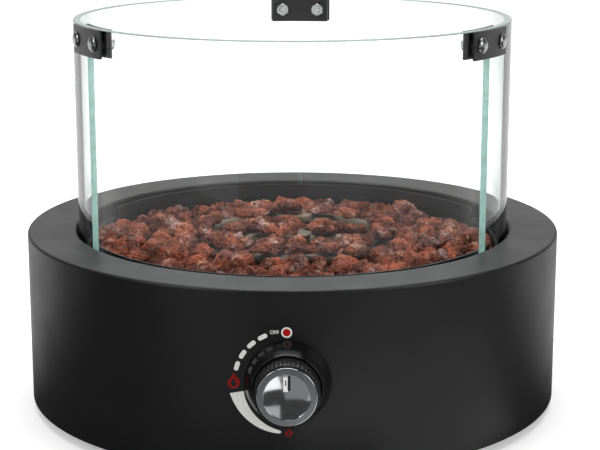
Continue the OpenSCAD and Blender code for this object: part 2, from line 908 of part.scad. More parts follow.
// The drum's curved front, grown by a gap, to seat a piece on it
module drum_face(gap) {
    translate([0, 0, -1]) cylinder(h = far, r = body_r + gap, $fn = 180);
}

module bezel_solid(inset) {
    rotate_extrude() polygon([[0, -4], [bezel_r - inset, -4], [bezel_r - inset, 0],
                              [bezel_step_r - inset, bezel_step], [bezel_mouth_r, bezel_h],
                              [0, bezel_h]]);
}

// Glossy collar: a steep lower wall, a bevel and a mouth round the grip
module knob_bezel() {
    color(rubber_black) difference() {
        on_knob_axis() difference() {
            bezel_solid(0);
            difference() {
                bezel_solid(bezel_wall);
                translate([0, 0, bezel_floor - 10]) cylinder(h = 10, r = far);
            }
            translate([0, 0, bezel_floor]) cylinder(h = bezel_h, r = bezel_mouth_r - edge_room);
            translate([0, 0, -5]) cylinder(h = 10, r = stem_hole_r);
            for (side = [-1, 1])
                translate([0, side * lug_screw_at, -5]) cylinder(h = 10, r = m4_r + hole_room);
        }
        drum_face(seat);
    }
}

module stem_section(room) {
    difference() {
        circle(r = stem_r + room);
        translate([-stem_d, stem_flat + room]) square(2 * stem_d);
    }
}

module knob_grip() {
    web = 3;
    color(rubber_black) on_knob_axis() difference() {
        translate([0, 0, grip_back]) {
            cylinder(h = grip_front - grip_back - 1.5, r = grip_r);
            translate([0, 0, grip_front - grip_back - 1.5])
                cylinder(h = 1.5, r1 = grip_r, r2 = face_r + 0.5);
        }
        translate([0, 0, grip_back - 1]) difference() {
            cylinder(h = grip_front - grip_back + 1 - web, r = grip_r - grip_wall);
            cylinder(h = far, r = grip_hub_r);
        }
        translate([0, 0, grip_back - 1]) linear_extrude(height = stem_front - grip_back + 1.5)
            stem_section(slide_room);
        for (i = [0:flute_count - 1])
            rotate([0, 0, i * 360 / flute_count]) translate([grip_r + flute_r * 0.5, 0, 6 + grip_back])
                cylinder(h = far, r = flute_r, $fn = 24);
    }
}

// Polished cap: flat rim, a step, a shallow dish and a raised pointer
module knob_face() {
    dish_r = face_r - face_ring_w;
    dish_ball = 120;
    color(chrome_grey) on_knob_axis() translate([0, 0, grip_front]) {
        difference() {
            rotate_extrude()
                polygon([[0, 0], [face_r, 0], [face_r, face_t - 0.8], [face_r - 0.8, face_t], [0, face_t]]);
            translate([0, 0, face_t - dish_drop]) cylinder(h = 2, r = dish_r);
            translate([0, 0, face_t - dish_drop + dish_ball - 0.8]) sphere(r = dish_ball);
        }
        translate([-pointer_w / 2, 3.5, 0.4]) cube([pointer_w, dish_r - 3.5, face_t - 0.4]);
    }
}

module valve_stem() {
    color(zinc) on_knob_axis() translate([0, 0, stem_back])
        linear_extrude(height = stem_front - stem_back) stem_section(0);
}

// Hat-shaped bracket: two lugs against the drum and a plate for the valve
module valve_bracket() {
    lug_end = bracket_half_h + bracket_lug;
    web_in = bracket_half_h - bracket_t;
    lug_back = bracket_front - bracket_t;
    color(zinc) difference() {
        on_knob_axis() difference() {
            translate([-bracket_w / 2, 0, 0]) rotate([90, 0, 90]) linear_extrude(height = bracket_w)
                polygon([[-web_in, bracket_plate], [web_in, bracket_plate], [web_in, 0], [lug_end, 0],
                         [lug_end, lug_back], [bracket_half_h, lug_back],
                         [bracket_half_h, valve_front], [-bracket_half_h, valve_front],
                         [-bracket_half_h, lug_back], [-lug_end, lug_back], [-lug_end, 0],
                         [-web_in, 0]]);
            translate([0, 0, bracket_plate - 5]) cylinder(h = 20, r = stem_r + 1);
            for (side = [-1, 1]) {
                translate([side * valve_screw_at, 0, bracket_plate - 5])
                    cylinder(h = 10, r = m4_r + hole_room);
                translate([0, side * lug_screw_at, bracket_front - 5])
                    cylinder(h = 10, r = m4_r + hole_room);
            }
        }
        difference() {
            drum_face(10);
            translate([0, 0, -2]) cylinder(h = far + 5, r = inner_r - seat, $fn = 180);
        }
    }
}

module bracket_screws() {
    reach = bezel_floor - bracket_front + bracket_t + m4_nut_h + 1;
    color(zinc) on_knob_axis()
        for (side = [-1, 1])
            translate([0, side * lug_screw_at, bezel_floor]) m4_screw(reach);
}

module bracket_nuts() {
    color(zinc) on_knob_axis()
        for (side = [-1, 1])
            translate([0, side * lug_screw_at, bracket_front - bracket_t - m4_nut_h])
                nut(m4_nut_af, m4_nut_h, m4_r);
}

module valve_screws() {
    color(zinc) on_knob_axis()
        for (side = [-1, 1])
            translate([side * valve_screw_at, 0, bracket_plate])
                m4_screw(bracket_t + valve_flange_t + 1);
}

// Die-cast valve: flange, barrel for the plug, two side ports and the magnet's housing
module gas_valve() {
    color(brass_yellow) on_knob_axis() difference() {
        union() {
            translate([-bracket_w / 2, -valve_flange_half, valve_front - valve_flange_t])
                cube([bracket_w, 2 * valve_flange_half, valve_flange_t]);
            translate([0, 0, valve_back]) cylinder(h = valve_front - valve_back, r = valve_r);
            translate([0, 0, magnet_back]) cylinder(h = valve_back - magnet_back, r = magnet_r);
            translate([-port_end, 0, port_at]) rotate([0, 90, 0]) cylinder(h = 2 * port_end, r = port_r);
        }
        translate([0, 0, plug_back - 1]) cylinder(h = far, r = plug_r + plug_room);
        translate([-far, 0, port_at]) rotate([0, 90, 0]) cylinder(h = 2 * far, r = port_bore_r);
        for (side = [-1, 1])
            translate([side * valve_screw_at, 0, valve_front - valve_flange_t - 1])
                cylinder(h = valve_flange_t + 2, r = m4_r + hole_room);
    }
}

// Plug that the stem turns. Its cross bore stands upright when the gas is off.
module valve_plug() {
    color(zinc) on_knob_axis() difference() {
        translate([0, 0, plug_back]) cylinder(h = plug_front - plug_back, r = plug_r);
        translate([0, 0, stem_back - push_travel - 1])
            linear_extrude(height = far) stem_section(slide_room);
        translate([0, far, port_at - 1.5]) rotate([90, 0, 0]) cylinder(h = 2 * far, r = 1.5);
    }
}

module piezo_igniter() {
    color("#d9d6cc") {
        translate([-piezo_w / 2, piezo_front_y, piezo_top - piezo_h])
            cube([piezo_w, piezo_l - piezo_tip, piezo_h]);
        translate([0, piezo_front_y + piezo_l - piezo_tip, wire_z]) rotate([-90, 0, 0])
            cylinder(h = piezo_tip, r = 3);
    }
}

// ---- Gas line ----

// Local +Z points out of the drum's back, from its surface
module on_inlet_axis() {
    at_azimuth(180) facing_front(body_r, inlet_z) children();
}

// Bulkhead fitting with an outside thread and a flared nose
module gas_inlet() {
    hex_top = washer_t + inlet_hex_h;
    neck_top = hex_top + inlet_neck_h;
    thread_r = inlet_thread_d / 2;
    color(brass_yellow) on_inlet_axis() difference() {
        union() {
            translate([0, 0, -inlet_tail]) cylinder(h = inlet_tail + washer_t, r = inlet_shank_r);
            translate([0, 0, washer_t]) hex_prism(inlet_hex_af, inlet_hex_h);
            translate([0, 0, hex_top]) cylinder(h = inlet_neck_h, r = thread_r - 1.4);
            translate([0, 0, neck_top])
                cylinder(h = inlet_reach - flare_h - neck_top, r = thread_r);
            translate([0, 0, inlet_reach - flare_h])
                cylinder(h = flare_h, r1 = thread_r - 1, r2 = flare_tip_r);
        }
        translate([0, 0, -far]) cylinder(h = 2 * far, r = inlet_bore_r);
    }
}

module inlet_washer() {
    color(rubber_black) on_inlet_axis() translate([0, 0, 0.05]) difference() {
        cylinder(h = washer_t - 0.05, r = 11);
        translate([0, 0, -1]) cylinder(h = washer_t + 2, r = inlet_shank_r + hole_room);
    }
}

module inlet_nut() {
    color(zinc) on_inlet_axis() translate([0, 0, -sheet_t - 1 - inlet_nut_h])
        nut(inlet_nut_af, inlet_nut_h, inlet_shank_r);
}

// Union nuts on the ends of the two pipes
module pipe_nuts() {
    nut_room = pipe_r + hole_room;
    color(brass_yellow) {
        for (side = [-1, 1])
            translate([side * port_end, port_y, knob_z]) rotate([0, side * 90, 0])
                pipe_nut(nut_room);
        translate([0, inlet_in_y, inlet_z]) rotate([90, 0, 0]) pipe_nut(nut_room);
        translate([-holder_w / 2, 0, jet_z]) rotate([0, -90, 0]) pipe_nut(nut_room);
    }
}

module pipe_nut(bore_r) {
    difference() {
        hex_prism(2 * pipe_nut_r, pipe_nut_h);
        translate([0, 0, -1]) cylinder(h = pipe_nut_h + 2, r = bore_r);
    }
}

module burner_pipe() {
    color(zinc) translate([-port_end, port_y, knob_z]) rotate([0, -90, 0])
        bent_tube([[burner_pipe_x - port_end - pipe_bend, 90, 180],
                   [knob_z - jet_z - 2 * pipe_bend, 90, -90],
                   [-port_y - 2 * pipe_bend, 90, 90],
                   [burner_pipe_x - pipe_bend - holder_w / 2]], pipe_r, pipe_bend);
}

module inlet_pipe() {
    color(zinc) translate([0, inlet_in_y, inlet_z]) rotate([90, 0, 0])
        bent_tube([[inlet_turn, 90, 0],
                   [inlet_pipe_x - 2 * pipe_bend, 90, 180],
                   [inlet_in_y - inlet_turn - pipe_bend - port_y - 2 * pipe_bend, 90, -90],
                   [knob_z - inlet_z - 2 * pipe_bend, 90, 90],
                   [inlet_pipe_x - pipe_bend - port_end]], pipe_r, pipe_bend);
}

// ---- Lava rocks ----

// A repeatable value from -1 to 1
function noise(i, j, k) = let (s = sin(i * 127.1 + j * 311.7 + k * 74.7) * 4375.85) 2 * (s - floor(s)) - 1;

// Rows of rocks between two radii, as [inner radius, outer radius, from, to, count].
// With a clear width, the rows leave a lane free along X and come as two halves.
function rock_rows(r_in, r_out, size, clear = 0) =
    let (rows = max(1, round((r_out - r_in) / size)), width = (r_out - r_in) / rows)
    [for (half = clear > 0 ? [0, 180] : [0], k = [0:rows - 1])
        let (r = r_in + k * width,
             free = clear > 0 ? asin(clear / r) : 0,
             span = clear > 0 ? 180 - 2 * free : 360,
             arc_l = PI * (r + width / 2) * span / 180,
             count = clear > 0 ? 2 * floor(arc_l / size / 2) + 1 : round(arc_l / size))
        [r, r + width, half + free, half + free + span, count]];

// The angle where rock k of a row begins. Neighbours share it, so they never overlap.
function row_turn(row, k) =
    let (whole = row[3] - row[2] == 360, end = !whole && (k == 0 || k == row[4]))
    row[2] + (row[3] - row[2]) / row[4]
        * (k + (end ? 0 : turn_shift * noise(k % row[4], row[0], 3)));

function row_cell(row, k) =
    let (half_turn = (0.5 + turn_shift) * (row[3] - row[2]) / row[4],
         a = row_turn(row, k), b = row_turn(row, k + 1), r_in = row[0] / cos(half_turn))
    [[r_in * cos(a), r_in * sin(a)], [row[1] * cos(a), row[1] * sin(a)],
     [row[1] * cos(b), row[1] * sin(b)], [r_in * cos(b), r_in * sin(b)]];

function sum(values, i = 0) = i < len(values) ? values[i] + sum(values, i + 1) : 0;
function centre_of(points) = [for (k = [0, 1]) sum([for (p = points) p[k]]) / len(points)];
function toward(point, centre, share) = centre + (point - centre) * share;
function drawn_in(points, centre) =
    [for (p = points) p + (centre - p) / norm(centre - p) * rock_gap];

// Distance from a point to a rock's cell, zero inside it
function edge_gap(p, a, b) =
    let (t = (p - a) * (b - a) / ((b - a) * (b - a))) norm(p - a - max(0, min(1, t)) * (b - a));
function side_of(p, a, b) = (b[0] - a[0]) * (p[1] - a[1]) - (b[1] - a[1]) * (p[0] - a[0]);
function cell_gap(cell, p) =
    min([for (k = [0:3]) side_of(p, cell[k], cell[(k + 1) % 4])]) > 0
        ? 0
        : min([for (k = [0:3]) edge_gap(p, cell[k], cell[(k + 1) % 4])]);

// One rock: four corners below, eight round its waist and four above
module rock(cell, low, high, seed, tilt = 1.6) {
    c = centre_of(cell);
    corners = drawn_in(cell, c);
    waist = [for (k = [0:3]) each [toward(corners[k], c, 0.99 + 0.01 * noise(seed, k, 1)),
                                   toward((corners[k] + corners[(k + 1) % 4]) / 2, c,
                                          0.99 + 0.01 * noise(seed, k, 2))]];
    waist_z = low + (high - low) * 0.5;
    bottom = [for (k = [0:3]) toward(corners[k], c, 0.74 + 0.08 * noise(seed, k, 3))];
    top = [for (k = [0:3]) toward(corners[k], c, 0.58 + 0.12 * noise(seed, k, 4))];
    points = concat([for (p = bottom) [p[0], p[1], low]],
                    [for (k = [0:7]) [waist[k][0], waist[k][1],
                                    waist_z + 0.15 * (high - low) * noise(seed, k, 6)]],
                    [for (k = [0:3]) [top[k][0], top[k][1], high - tilt + tilt * noise(seed, k, 7)]]);
    lower_faces = [for (k = [0:3]) each [[k, 4 + 2 * k, 4 + (2 * k + 7) % 8],
                                         [k, 5 + 2 * k, 4 + 2 * k],
                                         [k, (k + 1) % 4, 5 + 2 * k]]];
    upper_faces = [for (k = [0:3]) each [[12 + k, 4 + (2 * k + 7) % 8, 4 + 2 * k],
                                         [12 + k, 4 + 2 * k, 5 + 2 * k],
                                         [12 + k, 5 + 2 * k, 12 + (k + 1) % 4]]];
    ends = [[0, 3, 1], [1, 3, 2], [12, 13, 15], [13, 14, 15]];
    polyhedron(points, concat(lower_faces, upper_faces, ends));
}

// Discs [x, y, radius] that the pilot bracket, the electrode and the thermocouple fill
pilot_low = [for (x = [0.5, 17], y = [pilot_y - 2, electrode_y + 2]) [x, y, 12]];
pilot_high = [[0, pilot_y, 3], [0, electrode_y, 5]];

// What stands on the bowl's floor under the rocks, as [x, y, radius, height above the floor]
floor_lumps = concat(
    [for (a = leg_angles) each [[(ring_r + leg_w / 2) * sin(a), -(ring_r + leg_w / 2) * cos(a),
                                 12.5, leg_t],
                                [leg_screw_r * sin(a), -leg_screw_r * cos(a),
                                 m4_head_r + 0.5, leg_t + m4_head_h]]],
    [for (a = spacer_angles) [spacer_at * sin(a), -spacer_at * cos(a), m4_head_r + 0.5, m4_head_h]]);

function is_blocked(cell, discs) = min([for (d = discs) cell_gap(cell, [d[0], d[1]]) - d[2]]) < 0.5;
function rise_of(cell) = max([for (d = floor_lumps) cell_gap(cell, [d[0], d[1]]) < d[2] ? d[3] : 0]);

module lower_rocks() {
    inner = rock_rows(hub_r + 0.5, ring_r - leg_t / 2 - 0.5, lower_rock);
    outer = rock_rows(ring_r + leg_t / 2 + 0.5, floor_r - 2.5, lower_rock);
    for (row = concat(inner, outer), k = [0:row[4] - 1]) {
        cell = row_cell(row, k);
        top = row[0] < ring_r ? bed_split : bed_split - bed_step;
        if (!is_blocked(cell, pilot_low))
            rock(cell, bed_floor + rise_of(cell), top, k + row[0], 0.25);
    }
}

// The bed is highest round the burner and falls away towards the bowl's wall
module upper_rocks() {
    ring_out = ring_r + tube_r + 0.5;
    wall_in = bowl_r - 3.5;
    inner = rock_rows(hub_r + 1, ring_r - tube_r - 0.5, upper_rock, tube_r + 0.5);
    outer = rock_rows(ring_out, wall_in, upper_rock);
    for (row = concat(inner, outer), k = [0:row[4] - 1]) {
        cell = row_cell(row, k);
        outside = row[0] > ring_r;
        low = rest + (outside ? bed_split - bed_step : bed_split);
        fall = outside ? bed_fall * (row[0] - ring_out) / (wall_in - ring_out) : 0;
        if (!is_blocked(cell, pilot_high))
            rock(cell, low, bed_crown - fall + 3 * noise(k, row[1], 9), k + row[1]);
    }
}

// Small rocks that lie on the hub, on the cross tube and on most of the ring
module cap_rocks() {
    ring_low = burner_z + tube_r + rest;
    tube_low = ring_low - 1;
    hub_side = hub_r * 0.7;
    covered_arcs = [[50, 127], [154, 395]];
    rock([[-hub_side, -hub_side], [hub_side, -hub_side], [hub_side, hub_side], [-hub_side, hub_side]],
         ring_low, cap_top, 1);
    for (side = [0, 180], k = [0, 1]) {
        x = hub_r + 1 + k * upper_rock;
        rotate([0, 0, side])
            rock([[x, -cap_w], [x + upper_rock, -cap_w], [x + upper_rock, cap_w], [x, cap_w]],
                 tube_low, cap_top - 1, side + k);
    }
    for (arc = covered_arcs) {
        count = round((arc[1] - arc[0]) / 180 * PI * ring_r / upper_rock);
        row = [ring_r - cap_w, ring_r + cap_w, arc[0], arc[1], count];
        for (k = [0:count - 1])
            rock(row_cell(row, k), ring_low, cap_top + noise(k, arc[0], 9), k + arc[1]);
    }
}

module lava_rocks() {
    color(rock_red) {
        lower_rocks();
        upper_rocks();
        cap_rocks();
    }
}

body_shell();
base_plate();
side_screws();
side_nuts();
feet();
foot_screws();
foot_nuts();
bowl_hangers();
fire_bowl();
glass_retainer();
bowl_screws();
bowl_nuts();
glass_front();
glass_right();
glass_left();
clamp_outer_plates();
clamp_inner_plates();
clamp_pads();
clamp_bolts();
clamp_nuts();
burner_ring();
burner_legs();
leg_screws();
mixing_tube();
tube_nut();
injector_holder();
gas_jet();
burner_pipe();
inlet_pipe();
pipe_nuts();
gas_valve();
valve_plug();
valve_stem();
valve_bracket();
bracket_screws();
bracket_nuts();
valve_screws();
knob_bezel();
knob_grip();
knob_face();
piezo_igniter();
ignition_wire();
electrode();
thermocouple();
pilot_bracket();
heat_shield();
shield_spacers();
shield_screws();
gas_inlet();
inlet_washer();
inlet_nut();
lava_rocks();
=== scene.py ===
import math
import random

import bmesh
import bpy
from mathutils import Matrix, Vector, noise


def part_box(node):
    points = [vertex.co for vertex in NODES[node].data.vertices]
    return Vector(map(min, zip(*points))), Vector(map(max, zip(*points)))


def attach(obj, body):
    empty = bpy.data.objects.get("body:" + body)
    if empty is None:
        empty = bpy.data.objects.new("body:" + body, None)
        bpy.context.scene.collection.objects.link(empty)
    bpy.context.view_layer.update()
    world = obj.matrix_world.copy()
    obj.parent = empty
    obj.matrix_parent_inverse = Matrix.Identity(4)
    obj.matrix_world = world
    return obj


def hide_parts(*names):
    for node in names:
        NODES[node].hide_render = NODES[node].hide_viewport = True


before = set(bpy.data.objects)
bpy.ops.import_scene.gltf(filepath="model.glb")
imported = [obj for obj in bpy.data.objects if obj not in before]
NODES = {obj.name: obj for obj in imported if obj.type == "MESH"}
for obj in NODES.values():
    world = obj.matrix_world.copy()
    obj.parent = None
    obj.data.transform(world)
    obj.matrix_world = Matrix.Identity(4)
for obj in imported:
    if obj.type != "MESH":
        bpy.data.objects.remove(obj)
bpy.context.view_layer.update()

bl_info = {
    "name": "Tabletop gas fire pit",
    "version": (1, 0, 0),
    "blender": (4, 5, 0),
    "location": "3D View > Sidebar > Fire pit",
    "description": "Builds the finished pieces, materials and stage of a tabletop gas fire pit",
    "category": "Object",
}

MM = 0.001


def box_mm(node):
    """Lowest and highest corner of a node, in millimetres."""
    low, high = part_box(node)
    return low / MM, high / MM


DRUM_LOW, DRUM_HIGH = box_mm("body_shell")
GLASS_TOP = box_mm("glass_front")[1].z
CHANNEL_Z = box_mm("glass_front")[0].z
DRUM_R = DRUM_HIGH.y
KNOB_Z = (box_mm("knob_face")[0].z + box_mm("knob_face")[1].z) / 2
KNOB_REACH = -box_mm("knob_face")[0].y - DRUM_R
BOLT_Z = (box_mm("clamp_bolts")[0].z + box_mm("clamp_bolts")[1].z) / 2
BOWL_R = box_mm("glass_retainer")[1].y - 1.2
BOLT_TIP, BOLT_TAIL, NUT_SEAT = 202.3, 178.9, 185.7  # distances from the guard's axis
FACE_THICK = 2.4
HOUSING = "housing"


def linear(hex_colour):
    """An sRGB hex colour as the linear values that Blender mixes."""
    channels = [int(hex_colour[i:i + 2], 16) / 255 for i in (1, 3, 5)]
    return tuple(c / 12.92 if c <= 0.04045 else ((c + 0.055) / 1.055) ** 2.4 for c in channels)


def length(name, description, default):
    return bpy.props.FloatProperty(name=name, description=description, default=default * MM,
                                   min=0, subtype="DISTANCE", unit="LENGTH")


def colour(name, description, default):
    return bpy.props.FloatVectorProperty(name=name, description=description, subtype="COLOR",
                                         size=3, min=0, max=1, default=linear(default))


def angle(name, description, degrees):
    return bpy.props.FloatProperty(name=name, description=description,
                                   default=math.radians(degrees), subtype="ANGLE")


def factor(name, description, default):
    return bpy.props.FloatProperty(name=name, description=description, default=default,
                                   min=0, max=10, subtype="FACTOR")


class DrumSettings(bpy.types.PropertyGroup):
    coat: colour("Powder coat", "Colour of the drum's powder coat", "#121213")
    top_edge: length("Top edge", "Rounding of the drum's top edge", 2.6)
    hole_radius: length("Hole radius", "Radius of the hole in the top ring", 198)
    lip_depth: length("Lip depth", "Depth of the lip round the hole", 9)
    sheet: length("Sheet", "Thickness of the drum's sheet", 1.5)


class GuardSettings(bpy.types.PropertyGroup):
    outer_radius: length("Outer radius", "Outer radius of the glass", 195.5)
    thickness: length("Thickness", "Thickness of the glass", 6)
    chamfer: length("Polished edge", "Width of the polished chamfer on the glass's edges", 0.7)
    turn: angle("Turn", "Turn of the guard in its channel", -1.4)
    seam: length("Seam", "Gap between two panels", 2.5)
    edge_tint: colour("Edge tint", "Colour of the glass seen through its ends", "#9fc6bc")
    rim_tint: colour("Rim tint", "Colour of the glass seen through its top rim", "#8b9d98")
    # The lower edge's dark tint is painted shade from the dark channel it sits in
    foot_painted_shade: colour("Foot tint", "Colour of the glass's lower edge, in its dark channel",
                      "#3c4a46")


class ClampSettings(bpy.types.PropertyGroup):
    coat: colour("Plate coat", "Colour of the clamp plates' coat", "#1b1b1c")
    bolt_pitch: length("Bolt pitch", "Distance between the two bolts of a clamp", 36.6)
    head_diameter: length("Head diameter", "Diameter of a clamp bolt's domed head", 13.6)
    head_height: length("Head height", "Height of that head", 3)
    nut_flats: length("Nut", "Distance across the flats of a clamp nut", 11)
    nut_height: length("Nut height", "Height of a clamp nut", 5)
    shank: length("Shank", "Diameter of a clamp bolt", 6)


class RockSettings(bpy.types.PropertyGroup):
    red: colour("Red rock", "Main colour of the lava rock", "#965d4b")
    # The pores are darkened towards this colour: painted shade in their hollows
    dark: colour("Dark rock", "Colour of the rock's pores", "#2c1814")
    pale: colour("Pale rock", "Colour of the rock's dusty ridges", "#b8978a")
    lump: length("Lumps", "Height of the rock's lumps", 3.4)
    pit: length("Pits", "Depth of the rock's larger pores", 2.2)
    tumble: angle("Tumble", "How far a rock is turned from its place in the rows", 34)


class KnobSettings(bpy.types.PropertyGroup):
    grip_radius: length("Grip radius", "Radius of the knob's grip", 26.25)
    grip_back: length("Grip back", "From the drum to the back of the grip", 14)
    face_radius: length("Face radius", "Radius of the knob's metal face", 23.8)
    face_ring: length("Face ring", "Width of the flat ring round the dish", 5.1)
    dish_depth: length("Dish depth", "Depth of the dish below the ring", 1)
    pointer: length("Pointer", "Width of the raised pointer", 5.6)
    flutes: bpy.props.IntProperty(name="Flutes", description="Flutes round the grip",
                                  default=44, min=12, max=80)
    bezel_radius: length("Bezel radius", "Radius of the bezel on the drum", 35)
    bezel_height: length("Bezel height", "How far the bezel's mouth stands off the drum", 20)
    mouth_radius: length("Mouth radius", "Radius of the bezel's mouth", 27.25)


class DialSettings(bpy.types.PropertyGroup):
    mark: colour("White ink", "Colour of the printed white marks", "#e6e6e3")
    flame: colour("Red ink", "Colour of the printed red marks", "#8a0a0e")
    dot: colour("Dot ink", "Colour of the printed red dot", "#b4060c")
    radius: length("Dial radius", "Radius of the ring of printed marks", 42.4)
    dash: length("Dash", "Length of a printed dash", 8.3)
    dash_width: length("Dash width", "Width of a printed dash", 3.6)


class InletSettings(bpy.types.PropertyGroup):
    bore: length("Bore", "Diameter of the inlet's bore", 6)
    hexagon: length("Hexagon", "Distance across the flats of the inlet's hexagon", 19)
    thread_diameter: length("Thread", "Diameter of the inlet's outside thread", 15.88)
    thread_pitch: length("Pitch", "Distance between two turns of that thread", 1.41)


class StageSettings(bpy.types.PropertyGroup):
    floor: colour("Floor", "Colour of the floor", "#f4f4f4")
    key: factor("Key light", "Level of the overhead light", 1.0)
    ambient: factor("Ambient", "Level of the light from the walls", 0.45)
    front: factor("Front", "Level of the dark side of the studio in reflections", 0.06)
    sides: factor("Sides", "Level of the studio's side walls as gloss and glass show them", 0.42)


# ---- Node and material helpers ----

WHITE = (1, 1, 1, 1)
NOISE_LOW, NOISE_HIGH = 0.3, 0.7  # noise lies mostly between these two values


def rgba(shade):
    """A hex or a linear colour, as a socket or a colour ramp takes it."""
    return (*(linear(shade) if isinstance(shade, str) else shade), 1.0)


def times(level, shade):
    """A linear colour made lighter or darker."""
    return tuple(level * c for c in shade)


def sized(place, feature, detail=2):
    """Input sockets of a texture whose features are about this many millimetres across."""
    return {"Vector": place, "Scale": 1 / (feature * MM), "Detail": detail}


def add_node(tree, kind, sockets=(), stops=(), **settings):
    """Adds a node with its settings, and fills or links its inputs, by name or in order. A node
    given as an input stands for its first output. A colour ramp gets stops (position, colour)."""
    node = tree.nodes.new(kind)
    for name, value in settings.items():
        setattr(node, name, value)
    for key, value in sockets.items() if isinstance(sockets, dict) else enumerate(sockets):
        if isinstance(value, bpy.types.Node):
            value = value.outputs[0]
        if isinstance(value, bpy.types.NodeSocket):
            tree.links.new(value, node.inputs[key])
        else:
            node.inputs[key].default_value = value
    if stops:
        elements = node.color_ramp.elements
        while len(elements) < len(stops):
            elements.new(0.5)
        for element, (position, shade) in zip(elements, stops):
            element.position = position
            element.color = rgba(shade)
    return node


def emptied(owner):
    """The node tree of a new material or world, with no node in it."""
    owner.use_nodes = True
    owner.node_tree.nodes.clear()
    return owner.node_tree


def new_material(name, **inputs):
    """A material with one Principled shader, and the object's own coordinates in metres."""
    material = bpy.data.materials.new(name)
    tree = emptied(material)
    place = add_node(tree, "ShaderNodeTexCoord").outputs["Object"]
    shader = add_node(tree, "ShaderNodeBsdfPrincipled",
                      {key.replace("_", " "): value for key, value in inputs.items()})
    add_node(tree, "ShaderNodeOutputMaterial", [shader])
    material.diffuse_color = shader.inputs["Base Color"].default_value
    return material, tree, shader, place


def finish(name, grain, rough, stops=(), rough_grain=None, skin=None, cells=False, **inputs):
    """A material whose roughness drifts between two values, and whose tint runs through stops
    where it has them. A grain is (size in mm, detail) of noise, or of cells, and rough_grain is
    the roughness's own. skin is (size in mm, detail, strength, depth in mm) of small bumps."""
    material, tree, shader, place = new_material(name, **inputs)
    kind = "ShaderNodeTexVoronoi" if cells else "ShaderNodeTexNoise"
    drift = add_node(tree, kind, sized(place, *grain))
    if stops:
        tint = add_node(tree, "ShaderNodeValToRGB", [drift], stops)
        tree.links.new(tint.outputs[0], shader.inputs["Base Color"])
    if rough_grain:
        drift = add_node(tree, kind, sized(place, *rough_grain))
    gloss = add_node(tree, "ShaderNodeMapRange", [drift, NOISE_LOW, NOISE_HIGH, *rough])
    tree.links.new(gloss.outputs[0], shader.inputs["Roughness"])
    if skin:
        size, detail, strength, depth = skin
        height = add_node(tree, "ShaderNodeTexNoise", sized(place, size, detail))
        bump = add_node(tree, "ShaderNodeBump", {"Height": height, "Strength": strength,
                                                 "Distance": depth * MM})
        tree.links.new(bump.outputs[0], shader.inputs["Normal"])
    return material


# ---- Materials, each named for the real one ----

def powder_coat(name, base, gloss=0.42):
    # Polyester powder coat, sprayed and baked: a satin black skin with a fine orange peel,
    # a little uneven in gloss from place to place
    return finish(name, (45, 3), (gloss - 0.04, gloss + 0.05), skin=(1.3, 2, 0.6, 0.05),
                  Base_Color=rgba(base), IOR=1.5)


def heat_resistant_paint():
    # Matte high-temperature paint on the bowl: chalky, with sooty patches
    return finish("heat_resistant_paint", (30, 5), (0.5, 0.72),
                  stops=((0.3, "#0b0b0c"), (0.7, "#19191b")), skin=(0.9, 3, 0.3, 0.06),
                  IOR=1.5, Specular_IOR_Level=0.3)


def zinc_plated_steel():
    # Bright zinc plating on pressed steel: pale grey with faint spangles
    return finish("zinc_plated_steel", (3.5, 0), (0.3, 0.42), cells=True,
                  stops=((0.0, "#8f9295"), (0.8, "#b9bcbe")), Metallic=1.0)


def polished_stainless():
    # Turned and polished stainless, a little brushed: bright, streaked across its domes
    return finish("polished_stainless", (1.6, 4), (0.2, 0.34),
                  stops=((0.35, "#8e8f90"), (0.62, "#c6c7c8")), Metallic=1.0)


def heat_tinted_stainless():
    # Stainless tube that has been hot: straw and faint blue bands drift over dull steel
    return finish("heat_tinted_stainless", (38, 2), (0.4, 0.55), rough_grain=(5, 4),
                  stops=((0.3, "#655f58"), (0.5, "#6e6152"), (0.62, "#5b4f48"),
                         (0.75, "#4e5057")), skin=(1.2, 3, 0.15, 0.03), Metallic=1.0)


def chrome_plate():
    # Chrome plate over moulded plastic: a near mirror with the mould's slight waviness
    return finish("chrome_plate", (6, 2), (0.08, 0.14), skin=(14, 1, 0.25, 0.08),
                  Base_Color=rgba("#cfd1d3"), Metallic=1.0)


def satin_chrome():
    # Chrome plate over a ring that was turned before plating: satin, a little uneven in gloss
    return finish("satin_chrome", (3, 3), (0.3, 0.4), Base_Color=rgba("#a9abad"), Metallic=1.0)


def machined_brass():
    # Machined brass fittings: warm yellow, dull where handled
    return finish("machined_brass", (9, 4), (0.24, 0.4),
                  stops=((0.3, "#a5864a"), (0.7, "#c6a765")), Metallic=1.0)


def die_cast_alloy():
    # Die-cast zinc alloy: grey, with a fine pebbled skin from the die
    return finish("die_cast_alloy", (0.8, 3), (0.42, 0.56), skin=(0.8, 3, 0.35, 0.06),
                  Base_Color=rgba("#8c8e90"), Metallic=1.0)


def drawn_aluminium():
    # Drawn aluminium tube, bent by hand: pale, with a soft and slightly uneven gloss
    return finish("drawn_aluminium", (1.6, 4), (0.28, 0.4), Base_Color=rgba("#c2c4c6"),
                  Metallic=1.0)


def browned_copper():
    # Bare copper capillary of the thermocouple, browned by handling
    return finish("browned_copper", (12, 4), (0.3, 0.45),
                  stops=((0.3, "#8a5638"), (0.7, "#bd7d55")), Metallic=1.0)


def moulded_rubber(name, base):
    # Moulded rubber: matte charcoal with a faint bloom
    return finish(name, (4, 4), (0.7, 0.85), stops=((0.3, base), (0.75, times(1.5, base))),
                  skin=(0.7, 2, 0.25, 0.05), IOR=1.52)


def gloss_abs():
    # Injection-moulded gloss ABS: deep black with a clear, slightly wavy reflection
    return finish("gloss_abs", (8, 2), (0.16, 0.22), skin=(16, 1, 0.2, 0.05),
                  Base_Color=rgba("#0d0d0e"), IOR=1.53)


def textured_nylon(name, base, rough=(0.38, 0.5)):
    # Moulded nylon with a spark-eroded texture, worn a little smoother by fingers
    return finish(name, (5, 3), rough, skin=(0.5, 2, 0.25, 0.04), Base_Color=rgba(base),
                  IOR=1.53)


